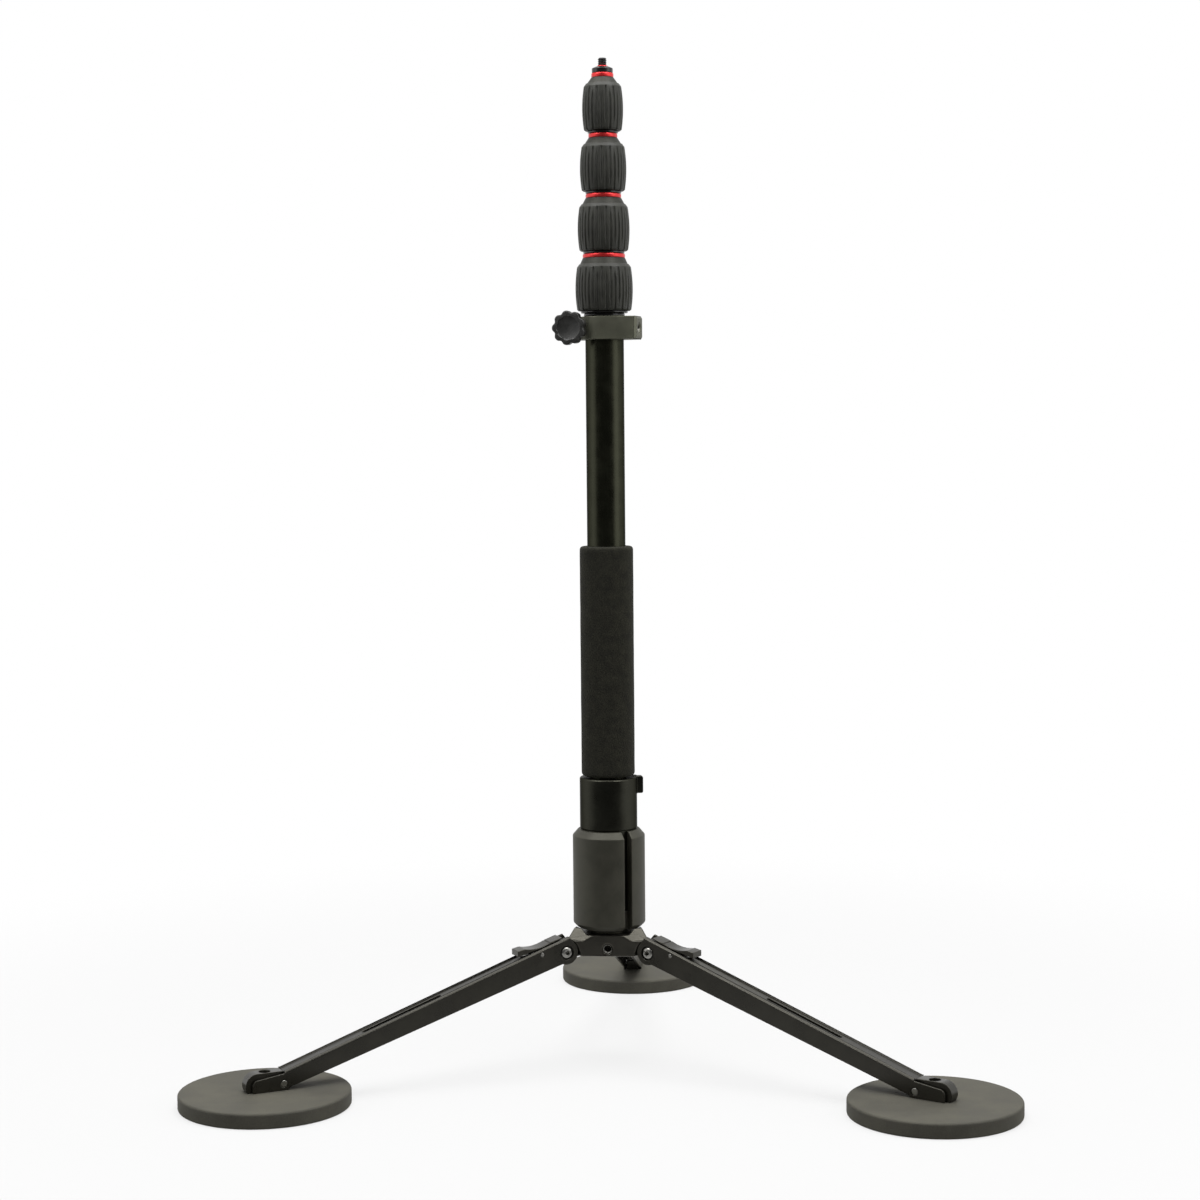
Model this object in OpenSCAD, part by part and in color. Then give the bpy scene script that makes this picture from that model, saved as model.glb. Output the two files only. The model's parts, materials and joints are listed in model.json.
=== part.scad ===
// Telescopic camera monopod with four twist locks and a folding three-leg base.
// Millimetres, Z up. The origin lies on the floor under the mast axis.

/* [Mast tubes] */
// Outer diameter of the main tube
main_tube_od = 28; // [26:0.5:32]
// Diameter lost from one tube to the next
tube_step = 4; // [3.6:0.1:4.4]
// Wall of every tube
tube_wall = 1.2; // [0.8:0.1:1.4]
// Length of the main tube
main_tube_len = 416.4; // [380:0.1:440]
// Length of each sliding tube
inner_tube_len = 441; // [400:1:450]
// Length of the guide bush on the lower end of a sliding tube
guide_len = 24; // [15:1:40]
// Thickness of the guide bush under the tube's end
guide_lip = 1.5; // [1:0.1:3]

/* [Twist locks] */
// Height of the ribbed barrel of a lock grip
barrel_h = 31.4; // [28:0.1:34]
// Height of the sloped shoulder above the barrel
shoulder_h = 2.2; // [1.5:0.1:4]
// Height of the bare sloped neck above the shoulder
neck_h = 4.4; // [3:0.1:6]
// Height of the red ring on a lock
ring_h = 3; // [2:0.1:4]
// How far the barrel stands out from its tube
lock_build = 6.75; // [6.2:0.05:8]
// Radius lost from the middle of the barrel to its ends
barrel_bulge = 1.25; // [0.4:0.05:1.5]
// Radius lost over the sloped shoulder
shoulder_in = 1.6; // [1:0.1:2.4]
// How far the top lock's red ring stands out from the tube that it holds
ring_build = 2; // [1.6:0.05:2.5]
// Further stand-out of the red ring on each lock below
ring_build_step = 0.45; // [0:0.005:0.6]
// Wall of the threaded sleeve round its tube
sleeve_wall = 2.4; // [2:0.1:2.8]
// Height of the sleeve's thread above the lock's underside
thread_h = 18; // [15:0.5:20]
// Height of the lip that the tube's upper end meets
sleeve_lip_h = 3; // [2:0.1:5]
// Wall of the lock nut at its thread
nut_wall = 1.8; // [1.4:0.1:2]
// Stand-out of the sleeve's flange from its tube
flange_build = 3; // [2:0.1:4]
// Height of the sleeve's flange
flange_h = 1.4; // [1:0.1:3]
// Stand-out of the trim ring under the lowest flange
trim_build = 0.9; // [0.5:0.1:2]
// Stand-out of the groove above the trim ring
trim_groove_build = 0.45; // [0.2:0.05:0.5]
// Height of the trim ring under the lowest flange
trim_h = 1.5; // [1:0.1:3]
// Height of the groove above the trim ring
trim_groove_h = 0.6; // [0.4:0.1:2]
// Wall of the split collet
collet_wall = 2.2; // [1.6:0.1:2.6]
// Height of the collet's top over the ribbed barrel
collet_rise = 3.8; // [2:0.1:4]
// Height of the collet's cone
collet_cone_h = 6; // [4:0.5:8]
// Radius lost over the collet's cone
collet_cone_in = 1.1; // [0.6:0.1:1.4]
// Width of the slit in the collet
collet_slit = 2; // [1:0.1:3]

/* [Camera platform] */
// Diameter of the top platform
platform_d = 15.2; // [14:0.1:18]
// Height of the top platform
platform_h = 4.4; // [2.5:0.1:6]
// Radius lost over the platform's sloped rim
platform_slope_in = 2.6; // [1:0.1:3]
// Height of the platform's sloped rim
platform_slope_h = 1.2; // [0.6:0.1:2]
// Length of the platform's plug in the top tube
plug_len = 12; // [8:0.5:20]
// Diameter of the camera stud, 1/4 inch
stud_d = 6.35; // [6.35:0.01:6.35]
// Height of the camera stud above the platform
stud_h = 6.3; // [5:0.1:8]
// Diameter of the stud's shank in the platform
stud_shank_d = 5.6; // [5:0.1:6]
// Depth of the stud's shank in the platform
stud_depth = 14; // [8:0.5:15]

/* [Accessory clamp] */
// Gap between the clamp and the lowest lock's trim ring
clamp_gap = 0.4; // [0.3:0.1:20]
// Height of the clamp band
clamp_h = 16.6; // [14:0.1:17]
// Wall of the clamp band
clamp_wall = 4.05; // [3:0.05:6]
// Direction of the threaded boss round the mast, in degrees
clamp_turn = -13; // [-30:1:30]
// Reach of the threaded boss past the band
boss_out = 8.4; // [7:0.1:14]
// Width of the boss's end face
boss_w = 17; // [14:0.1:20]
// Chamfer round the boss's end face
boss_chamfer = 1.5; // [0.5:0.1:3]
// Depth of the threaded hole in the boss
boss_hole_depth = 9; // [6:0.1:10]
// Width of the split between the lobes
split_w = 3; // [2:0.1:4]
// Thickness of each lobe
lobe_t = 8; // [5:0.1:9]
// Distance of the clamp screw from the band
screw_out = 1.9; // [1.5:0.1:8]
// Diameter of the clamp screw
clamp_screw_d = 5; // [4:0.1:6]
// Diameter of the clamp knob
knob_d = 25; // [20:0.1:28]
// Thickness of the knob's lobed rim
knob_t = 7; // [6:0.1:10]
// Height of the knob's round foot
knob_foot_h = 2; // [1:0.1:4]
// Diameter of the knob's round foot
knob_foot_d = 8; // [7:0.1:8.5]
// Number of hollows round the knob
knob_hollows = 9; // [7:1:10]
// Radius of each hollow round the knob
knob_hollow_r = 3; // [2:0.1:3.5]
// Distance of the hollows' centres outside the knob's rim
knob_hollow_out = 1; // [0.5:0.1:2]
// Depth of the dish in the knob's face
knob_dish = 0.8; // [0.4:0.1:1.5]
// Rim left round the dish in the knob's face
knob_rim = 4; // [3:0.1:6]

/* [Hand grip] */
// Gap between the collar and the foam grip
grip_gap = 1.1; // [0.5:0.1:20]
// Length of the foam grip
grip_len = 168.4; // [120:0.1:170]
// Outer diameter of the foam grip
grip_od = 39.3; // [36:0.1:44]
// Rounding of the grip's ends
grip_round = 3; // [1:0.1:4]

/* [Base collar] */
// Outer diameter of the collar
collar_d = 42.1; // [42:0.1:46]
// Height of the collar's rim, above its neck
collar_h = 37.3; // [25:0.1:38]
// Height of the bare neck between the housing and the collar's rim
collar_neck_h = 1; // [0.5:0.1:2]
// Depth of the main tube in the collar, below the housing's top
tube_seat = 23; // [10:0.5:40]
// Thickness of the spigot's floor
spigot_floor = 5; // [3:0.5:10]
// Step under the main tube's end
tube_step_in = 1.6; // [1.4:0.1:3]
// Reach of the collar's lug past the collar
collar_lug_out = 4.45; // [3:0.05:7]
// Width of the collar's lug
collar_lug_w = 6; // [4:0.1:10]
// Height of the collar's lug
collar_lug_h = 12.6; // [8:0.1:16]
// Direction of the collar's lug round the mast, in degrees
collar_lug_turn = 12; // [-30:1:30]

/* [Socket housing] */
// Outer diameter of the housing
housing_d = 53; // [52:0.1:56]
// Diameter of the housing's bore
housing_bore_d = 40; // [38:0.1:42]
// Height of the neck between the hub and the housing
neck_gap = 3.3; // [3.2:0.1:6]
// Height of the housing
housing_h = 72.4; // [65:0.1:80]
// Thickness of the housing's floor
housing_floor = 13.5; // [10:0.1:14]
// Height of the lower chamfer
housing_low_h = 3.2; // [2.6:0.1:9]
// Radius lost over the lower chamfer
housing_low_in = 3.2; // [1:0.1:3.5]
// Height of the upper chamfer
housing_top_h = 4.6; // [3:0.1:8]
// Radius lost over the upper chamfer
housing_top_in = 4; // [2:0.1:4.5]
// Width of the slot down the housing
housing_slot_w = 6; // [3:0.1:8]
// Direction of the slot round the mast, in degrees
housing_slot_turn = -53.5; // [-70:0.5:-45]
// Diameter of the neck under the housing
housing_neck_d = 34; // [28:0.1:36]
// Diameter of the base bolt, 3/8 inch
base_bolt_d = 9.52; // [9.52:0.01:9.52]
// Metal left over the base bolt's hole in the housing's floor
bolt_cover = 3.5; // [2:0.1:5]

/* [Hub] */
// Depth of the hub's underside below the leg hinges
hub_down = 3.5; // [3:0.1:6]
// Height of the hub's block
hub_h = 15.6; // [15:0.1:17]
// Distance of the three flats from the mast axis
hub_flat = 21.7; // [21:0.1:22.5]
// Gap between the hub's short faces and the legs' round ends
hub_face_gap = 1; // [0.6:0.1:2]
// Height of the ears above the hub's block
ear_h = 4.3; // [3.5:0.1:4.6]
// Gap between the ears and the housing's lower edge
ear_gap = 1.6; // [1.4:0.1:2.4]
// Depth of the ears' bevels below the top of the hub's block
ear_bevel_h = 4; // [2:0.1:6]
// Reach of the ear's ridge past the short face, at the ear's top
ear_out = 0.6; // [0:0.1:1.4]
// Slope of the ear's two bevels, in degrees from upright
ear_tilt = 27.3; // [24:0.1:30]
// Turn of the ear's two bevels from the leg, in degrees
ear_turn = 41.5; // [38:0.1:45]
// Height of the threaded holes over the hub's underside
hub_hole_h = 5.4; // [5:0.1:10]
// Depth of the threaded holes in the flats
hub_hole_depth = 10; // [8:0.1:11]
// Diameter of the base bolt's head
bolt_head_d = 14; // [13:0.1:15]
// Height of the base bolt's head
bolt_head_h = 6; // [5:0.1:7]
// Diameter of all 1/4 inch threaded holes
quarter_d = 6.35; // [6.35:0.01:6.35]

/* [Leg hinges] */
// Distance of the leg hinges from the mast axis
hinge_rho = 38; // [37.5:0.1:40]
// Height of the leg hinges above the floor
hinge_z = 85.5; // [84.5:0.1:86.5]
// Radius of the hub's hinge lugs
hinge_lug_r = 8; // [7.5:0.1:8.3]
// Thickness of the hub's hinge lugs
hinge_lug_t = 8; // [7:0.1:8.4]
// Diameter of the hinge screws
pivot_d = 5; // [4:0.1:5.5]
// Diameter of the hinge screws' heads
pivot_head_d = 8.6; // [8:0.1:9.5]
// Diameter of the recess round a hinge screw's head
pivot_recess_d = 10.4; // [10:0.1:11.5]
// Depth of the recess round a hinge screw's head
pivot_recess = 2; // [1.5:0.1:2.2]
// How far a leg folds down, in degrees
fold_angle = 66; // [40:1:66]
// Width of the latch notches in a hinge lug
notch_w = 2.6; // [2:0.1:3.5]
// Depth of the latch notches in a hinge lug
notch_depth = 1.6; // [1:0.1:2]

/* [Legs] */
// Width of a leg
leg_w = 15; // [14:0.1:16]
// Wall of a leg's channel
leg_wall = 2; // [1.5:0.1:2.4]
// Height of a leg's top edge over its hinge
leg_up = 11; // [10.5:0.1:11.5]
// Depth of a leg's lower edge under its hinge
leg_down = 7.1; // [6:0.1:8]
// Radius of a leg's inner end
leg_root_r = 8.9; // [8.5:0.1:9.2]
// Distance of a leg's upper inner corner behind its hinge
leg_corner = 1.8; // [0:0.1:3]
// Thickness of the web between a leg's walls
web_t = 2.2; // [1.5:0.1:3]
// Depth of the web under the top edges
web_drop = 1; // [0.5:0.1:1.5]
// Distance of the web's inner end from the hinge
web_start = 28; // [26:0.5:32]
// Chamfer along a leg's top edges
leg_chamfer = 1.3; // [0.5:0.1:1.6]
// Width of the slot in the web
web_slot_w = 4; // [3:0.1:6]
// Length of the slot in the web
web_slot_len = 63; // [30:1:80]
// Distance of the slot's middle from the hinge
web_slot_mid = 127; // [110:1:140]

/* [Rockers] */
// Distance of the rocker pin from the hinge
rocker_pin_out = 19.7; // [19:0.1:21]
// Depth of the rocker pin under the leg's top edge
rocker_pin_drop = 3.9; // [3.4:0.1:4.5]
// Diameter of the rocker pin
rocker_pin_d = 3; // [2.5:0.1:3.5]
// Radius of the rocker's boss round its pin
rocker_boss_r = 3.2; // [2.8:0.1:3.5]
// Width of the rocker's pad above the leg
rocker_pad_w = 11.6; // [10:0.1:12.5]
// Length of the rocker inward from its pin
rocker_in = 16.2; // [15:0.1:17]
// Length of the rocker outward from its pin
rocker_out = 18.7; // [17:0.1:20]
// Distance of the rocker's crease inward from its pin
crease_in = 6.7; // [5:0.1:9]
// Distance of the thumb rise outward from the pin
rise_out = 13.3; // [12:0.1:15]
// Height of the rocker's inner end over the leg's top edge
inner_proud = 1.6; // [1.4:0.1:2.5]
// Height of the rocker's crease over the leg's top edge
crease_proud = 1.8; // [1.6:0.1:2.5]
// Height of the dish's pull over the leg's top edge
dish_proud = 0.1; // [0:0.1:1]
// Height of the thumb rise over the leg's top edge
rise_proud = 5.6; // [5:0.1:6.5]
// Height of the rocker's tip over the leg's top edge
tip_proud = 6.3; // [5.6:0.1:7]
// Width of the groove along the rocker's crease
crease_w = 0.8; // [0.5:0.1:1.2]
// Depth of the groove along the rocker's crease
crease_depth = 0.5; // [0.3:0.1:0.8]
// Distance of the pawl's shoulder from the lug and from the rocker's inner end
pawl_shoulder = 1; // [0.8:0.1:1.2]
// Distance of the pawl's heel from the lug
pawl_heel = 3; // [2.5:0.1:3.5]
// How far a rocker turns when pressed, in degrees
press_angle = 5; // [3:0.5:5]
// Thickness of the rocker's leaf spring
spring_t = 0.5; // [0.3:0.1:0.6]
// Width of the rocker's leaf spring
spring_w = 6; // [4:0.5:7]
// Distance of the leaf spring's foot from the web's inner end
spring_back = 0.5; // [0.3:0.1:1]
// Length of the leaf spring's flat foot
spring_foot = 2.5; // [1.5:0.1:3]
// Distance of the leaf spring's end behind the rocker's tip
spring_short = 2; // [1:0.1:3]

/* [Feet] */
// Diameter of a weight disc
disc_d = 120; // [100:1:130]
// Thickness of a weight disc
disc_h = 11; // [10:0.1:12]
// Rounding of a disc's edges
disc_edge = 1; // [0.5:0.1:2]
// Distance of the disc centres from the mast axis
foot_rho = 266.6; // [255:0.1:280]
// Distance from the disc centre back to the leg's bend
bend_back = 12.3; // [11:0.1:14]
// Height of the leg's top edge over the disc at the bend
bend_h = 13.4; // [13:0.1:15]
// Height of the toe's cheeks over the disc behind the bend
toe_h = 11.8; // [11:0.1:12.5]
// Height of the toe's cheeks over the disc at their round ends
toe_end_h = 9.2; // [8.6:0.1:10]
// Radius of the toe's round ends
toe_r = 4.5; // [3.5:0.1:5]
// Reach of the toe's cheeks past the disc centre
toe_out = 10.9; // [10:0.1:13]
// Distance from the disc centre back to the heel
heel_back = 15.1; // [14:0.1:17]
// Height of the heel's edge over the disc
heel_h = 1.4; // [0.8:0.1:2]
// Height of the foot insert
insert_h = 13.2; // [13:0.1:14.5]
// Gap on each side of the foot insert
insert_gap = 0.7; // [0.3:0.1:1.5]
// Reach of the foot insert past the disc centre
insert_out = 15; // [14:0.1:17]
// Radius of the foot insert's nose
insert_nose_r = 8.6; // [7:0.1:9]
// Distance from the disc centre back to the foot pin
foot_pin_back = 11.6; // [11:0.1:12]
// Height of the foot pin over the disc
foot_pin_h = 4.7; // [4:0.1:5.5]
// Diameter of the foot pin
foot_pin_d = 5; // [4:0.1:6]
// Diameter of the disc screw
disc_screw_d = 8; // [6:0.1:8.5]
// Diameter of the disc screw's flat head
disc_head_d = 16; // [14:0.1:18]
// Depth of the disc screw's head above the floor
disc_head_z = 0.6; // [0.4:0.1:1]
// Depth of the disc screw's end below the foot insert's top
disc_screw_drop = 3; // [1:0.1:6]

/* [Clearances] */
// Radial clearance of sliding and turning fits
run_fit = 0.05; // [0.03:0.01:0.08]
// Radial clearance of bonded and pressed fits
set_fit = 0.03; // [0.02:0.01:0.05]
// Radial clearance of the lock and clamp threads
thread_fit = 0.08; // [0.05:0.01:0.1]
// Gap between moving faces that don't touch
free_gap = 0.4; // [0.35:0.05:0.6]
// Gap where a collapsed or stopped piece rests
stop_gap = 0.3; // [0.2:0.05:0.4]
// Gap beside the rocker and the hinge lugs in a leg
side_gap = 0.3; // [0.2:0.05:0.4]

/* [Hidden] */
$fn = 96;
LOCKS = 4;
LEGS = 3;
SLIDERS = [2:LOCKS + 1];
eps = 0.01;
// Longer than any cut needs
far = 400;

anodised = [0.19, 0.19, 0.17];
gloss_black = [0.12, 0.12, 0.11];
rubber_black = [0.10, 0.10, 0.10];
foam_black = [0.13, 0.13, 0.12];
ring_red = [0.78, 0.13, 0.15];
bright_steel = [0.75, 0.75, 0.74];
disc_grey = [0.36, 0.35, 0.33];
bush_white = [0.85, 0.85, 0.82];

// Hub, housing and collar, from the hinges up
hub_z = hinge_z - hub_down;
hub_top = hub_z + hub_h;
housing_z = hub_top + neck_gap;
housing_top = housing_z + housing_h;
collar_z = housing_top + collar_neck_h;
collar_top = collar_z + collar_h;
grip_z = collar_top + grip_gap;
main_tube_foot = housing_top - tube_seat;
spigot_z = housing_z + housing_floor + stop_gap;
bolt_seat_z = hub_z + bolt_head_h + stop_gap;
bolt_hole_z = housing_z + housing_floor - bolt_cover;
hub_face = hinge_rho - leg_root_r - hub_face_gap;
ear_top = hub_top + ear_h;
ear_ridge = hub_face + ear_out;
ear_bore_r = housing_d / 2 - housing_low_in + ear_gap;

// Tube n, counted from 1 at the bottom
function tube_r(n) = (main_tube_od - tube_step * (n - 1)) / 2;
function tube_in(n) = tube_r(n) - tube_wall;

// Lock n sits on tube n and holds tube n + 1
nut_h = barrel_h + shoulder_h + neck_h;
// Height of the nut's corner under the rubber shoulder
nut_corner_h = barrel_h - shoulder_in / 2;
lock_h = nut_h + ring_h;
lock_pitch = lock_h + stop_gap + flange_h + stop_gap;
tube_top_h = thread_h - sleeve_lip_h;
collet_h = barrel_h - thread_h + collet_rise;
lock_1_z = main_tube_foot + main_tube_len - tube_top_h;
// A sliding tube that is too long for the main tube stands on the collar's step and holds its lock up
tube_rest_z = main_tube_foot + stop_gap + guide_lip;
lock_lift = max(0, tube_rest_z + inner_tube_len - tube_top_h - lock_1_z - lock_pitch);
function lock_z(n) = lock_1_z + lock_pitch * (n - 1) + (n > 1 ? lock_lift : 0);
function thread_r(n) = tube_r(n) + set_fit + sleeve_wall;
function nut_r(n) = thread_r(n) + thread_fit + nut_wall;
function barrel_r(n) = tube_r(n) + lock_build;
function shoulder_r(n) = barrel_r(n) - barrel_bulge - shoulder_in;
function ring_r(n) = tube_r(n + 1) + ring_build + ring_build_step * (LOCKS - n);
function collet_r(n) = tube_r(n + 1) + run_fit + collet_wall;
function spigot_r(n) = tube_r(n + 1) + free_gap + (ring_r(n) - tube_r(n + 1) - free_gap) / 2;

trim_z = lock_1_z - stop_gap - flange_h - trim_groove_h - trim_h;
platform_z = lock_z(LOCKS) + lock_h + stop_gap;
platform_top = platform_z + platform_h;
function tube_top(n) = n > LOCKS ? platform_z : lock_z(n) + tube_top_h;
function tube_foot(n) = tube_top(n) - inner_tube_len;

// Half width of a short face, where the flats on both sides meet it
function flats_half(rho) = (hub_flat - rho * cos(60)) / sin(60);

// A leg lies along X in its own plane, and Y runs across it
root_half = hinge_lug_t / 2 + side_gap;
bend_rho = foot_rho - bend_back;
heel_rho = foot_rho - heel_back;
toe_rho = foot_rho + toe_out;
top_slope = (hinge_z + leg_up - disc_h - bend_h) / (bend_rho - hinge_rho);
top_angle = atan(top_slope);
function top_z(rho) = hinge_z + leg_up - top_slope * (rho - hinge_rho);
function web_z(rho) = top_z(rho) - web_drop;
function leg_azimuth(i) = 90 + 120 * (i - 1);
function from_hinge(r, a) = [hinge_rho + r * cos(a), hinge_z + r * sin(a)];
channel_half = leg_w / 2 - leg_wall;
web_rho = hinge_rho + web_start;
fork_rho = bend_rho - stop_gap;
root_corner_rho = hinge_rho - leg_corner;
// Direction in which a leg's round end meets its top corner
root_angle = 135;

// Rocker
rocker_rho = hinge_rho + rocker_pin_out;
rocker_z = top_z(rocker_rho) - rocker_pin_drop;
rocker_tip = rocker_rho + rocker_out;
rocker_end = rocker_rho - rocker_in;
rocker_half = root_half - side_gap;
pawl_r = hinge_lug_r + free_gap;
pawl_angle = 33;
// Turns of the pawl's tip and of its two corners from that angle
pawl_tip_turn = 4;
pawl_spread = 14;
// Direction from the rocker pin to the pawl's root
boss_angle = 35;
// Underside of the rocker's pad: it falls below this line only when pressed
function pad_z(rho) = top_z(rho) + free_gap + max(0, rho - rocker_rho) * tan(press_angle);
function bezier(a, b, c, s) = (1 - s) * (1 - s) * a + 2 * s * (1 - s) * b + s * s * c;

// Shared shapes

module ring_between(inner, outer, z0, z1) {
    difference() {
        translate([0, 0, z0]) cylinder(r = outer, h = z1 - z0);
        translate([0, 0, z0 - eps]) cylinder(r = inner, h = z1 - z0 + 2 * eps);
    }
}

// A side outline, drawn in X and Z, given a width across the leg
module across(width) {
    rotate([90, 0, 0]) linear_extrude(height = width, center = true) children();
}

// A round bar across the leg
module cross_bar(rho, z, r, width) {
    translate([rho, 0, z]) rotate([90, 0, 0]) cylinder(r = r, h = width, center = true);
}

module on_leg(i) {
    rotate([0, 0, leg_azimuth(i)]) children();
}

// Threaded hole along X with its mouth at the given distance, chamfered
module quarter_hole(mouth, depth) {
    chamfer = 0.9;
    rotate([0, 90, 0]) {
        translate([0, 0, mouth - depth]) cylinder(d = quarter_d, h = depth + eps);
        translate([0, 0, mouth - chamfer])
            cylinder(d1 = quarter_d, d2 = quarter_d + 2 * chamfer, h = chamfer + eps);
    }
}

// Hexagon socket that opens upward at the given height
module hex_socket(across_flats, depth, z) {
    translate([0, 0, z - depth]) cylinder(d = across_flats / cos(30), h = depth + eps, $fn = 6);
}

// Mast tubes

module main_tube() {
    color(anodised) ring_between(tube_in(1), tube_r(1), main_tube_foot, tube_top(1));
}

module sliding_tube(n) {
    color(anodised) ring_between(tube_in(n), tube_r(n), tube_foot(n), tube_top(n));
}

module guide_bush(n) {
    outer = tube_in(n - 1) - run_fit;
    color(bush_white) union() {
        ring_between(tube_r(n) + set_fit, outer, tube_foot(n) - eps, tube_foot(n) + guide_len);
        ring_between(tube_in(n), outer, tube_foot(n) - guide_lip, tube_foot(n));
    }
}

module top_platform() {
    color(gloss_black) difference() {
        rotate_extrude() polygon([
            [0, platform_z - plug_len], [tube_in(LOCKS + 1) - set_fit, platform_z - plug_len],
            [tube_in(LOCKS + 1) - set_fit, platform_z], [platform_d / 2, platform_z],
            [platform_d / 2, platform_top - platform_slope_h],
            [platform_d / 2 - platform_slope_in, platform_top],
            [0, platform_top]
        ]);
        translate([0, 0, platform_z - far]) cylinder(d = stud_shank_d + 2 * set_fit, h = 2 * far);
    }
}

module camera_stud() {
    chamfer = 0.6;
    color(gloss_black) rotate_extrude() polygon([
        [0, platform_top - stud_depth], [stud_shank_d / 2, platform_top - stud_depth],
        [stud_shank_d / 2, platform_top], [stud_d / 2, platform_top],
        [stud_d / 2, platform_top + stud_h - chamfer], [stud_d / 2 - chamfer, platform_top + stud_h],
        [0, platform_top + stud_h]
    ]);
}

// Twist locks

module lock_sleeve(n) {
    z = lock_z(n);
    flange_z = z - stop_gap - flange_h;
    groove_z = flange_z - trim_groove_h;
    bore = tube_r(n) + set_fit;
    color(gloss_black) union() {
        ring_between(bore, thread_r(n), flange_z, z + tube_top_h);
        ring_between(bore, tube_r(n) + flange_build, flange_z, z - stop_gap);
        ring_between(tube_r(n + 1) + free_gap, thread_r(n), z + tube_top_h, z + thread_h);
        if (n == 1) {
            ring_between(bore, tube_r(n) + trim_groove_build, groove_z, flange_z);
            ring_between(bore, tube_r(n) + trim_build, trim_z, groove_z);
        }
    }
}

module lock_collet(n) {
    z = lock_z(n) + thread_h;
    bore = tube_r(n + 1) + run_fit;
    color(bush_white) difference() {
        rotate_extrude() polygon([
            [bore, z], [collet_r(n), z], [collet_r(n), z + collet_h - collet_cone_h],
            [collet_r(n) - collet_cone_in, z + collet_h], [bore, z + collet_h]
        ]);
        translate([0, -collet_slit / 2, z - eps]) cube([far, collet_slit, collet_h + 2 * eps]);
    }
}

module lock_nut(n) {
    z = lock_z(n);
    bore = thread_r(n) + thread_fit;
    chamber = collet_r(n) + free_gap;
    chamber_z = z + thread_h + free_gap;
    lip = tube_r(n + 1) + free_gap;
    color(gloss_black) rotate_extrude() polygon([
        [bore, z], [nut_r(n), z], [nut_r(n), z + nut_corner_h],
        [shoulder_r(n) - free_gap, z + barrel_h + shoulder_h - free_gap],
        [ring_r(n), z + nut_h], [spigot_r(n), z + nut_h], [spigot_r(n), z + lock_h - free_gap],
        [lip, z + lock_h - free_gap], [lip, chamber_z + collet_h],
        [chamber - collet_cone_in, chamber_z + collet_h],
        [chamber, chamber_z + collet_h - collet_cone_h], [chamber, chamber_z], [bore, chamber_z]
    ]);
}

module lock_grip(n) {
    z = lock_z(n);
    steps = 8;
    barrel = [for (i = [0:steps])
        let (s = 2 * i / steps - 1) [barrel_r(n) - barrel_bulge * s * s, z + barrel_h * i / steps]];
    color(rubber_black) rotate_extrude() polygon(concat(
        [[nut_r(n) + set_fit, z]], barrel,
        [[shoulder_r(n), z + barrel_h + shoulder_h],
        [shoulder_r(n) - free_gap, z + barrel_h + shoulder_h],
        [shoulder_r(n) - free_gap, z + barrel_h + shoulder_h - free_gap + set_fit],
        [nut_r(n) + set_fit, z + nut_corner_h + set_fit]]
    ));
}

module lock_ring(n) {
    z = lock_z(n) + nut_h;
    edge = 0.6;
    inner = spigot_r(n) + set_fit;
    color(ring_red) rotate_extrude() polygon([
        [inner, z], [ring_r(n) - edge, z], [ring_r(n), z + edge], [ring_r(n), z + ring_h - edge],
        [ring_r(n) - edge, z + ring_h], [inner, z + ring_h]
    ]);
}

// Accessory clamp: the boss points along X, and its screw runs along Y

clamp_bore = tube_r(1) + run_fit;
clamp_r = clamp_bore + clamp_wall;
clamp_z = trim_z - clamp_gap - clamp_h;
boss_reach = clamp_r + boss_out;
screw_reach = clamp_r + screw_out;
lobe_face = split_w / 2 + lobe_t;
// The knob's rim passes in front of the band
band_front = sqrt(max(0, pow(clamp_r, 2) - pow(screw_reach - knob_d / 2, 2)));
rim_face = max(lobe_face + stop_gap + knob_foot_h, band_front + free_gap);
knob_face = rim_face + knob_t;

module at_clamp() {
    rotate([0, 0, clamp_turn]) translate([0, 0, clamp_z + clamp_h / 2]) children();
}

module clamp_screw_bar(r, y0, y1) {
    translate([-screw_reach, y1, 0]) rotate([90, 0, 0]) cylinder(r = r, h = y1 - y0);
}

module clamp_band() {
    corner = [boss_reach, boss_w / 2];
    touch = atan(corner.y / corner.x) + acos(clamp_r / norm(corner));
    side = clamp_r * [cos(touch), sin(touch)];
    back = corner + (side - corner) * boss_chamfer / norm(side - corner);
    tip = [corner.x, corner.y - boss_chamfer];
    bar = boss_chamfer * sqrt(2);
    color(gloss_black) at_clamp() difference() {
        union() {
            cylinder(r = clamp_r, h = clamp_h, center = true);
            linear_extrude(height = clamp_h, center = true) polygon([
                [0, 0], side, back, tip, [tip.x, -tip.y], [back.x, -back.y], [side.x, -side.y]
            ]);
            translate([-screw_reach / 2, 0, 0])
                cube([screw_reach, 2 * lobe_face, clamp_h], center = true);
            clamp_screw_bar(clamp_h / 2, -lobe_face, lobe_face);
        }
        cylinder(r = clamp_bore, h = clamp_h + 2 * eps, center = true);
        translate([-far / 2, 0, 0]) cube([far, split_w, clamp_h + 2 * eps], center = true);
        clamp_screw_bar(clamp_screw_d / 2 + free_gap, -lobe_face - eps, 0);
        clamp_screw_bar(clamp_screw_d / 2 + thread_fit, 0, lobe_face + eps);
        quarter_hole(boss_reach, boss_hole_depth);
        for (end = [-1, 1]) translate([boss_reach, 0, end * clamp_h / 2])
            rotate([0, 45, 0]) cube([bar, far, bar], center = true);
    }
}

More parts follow.
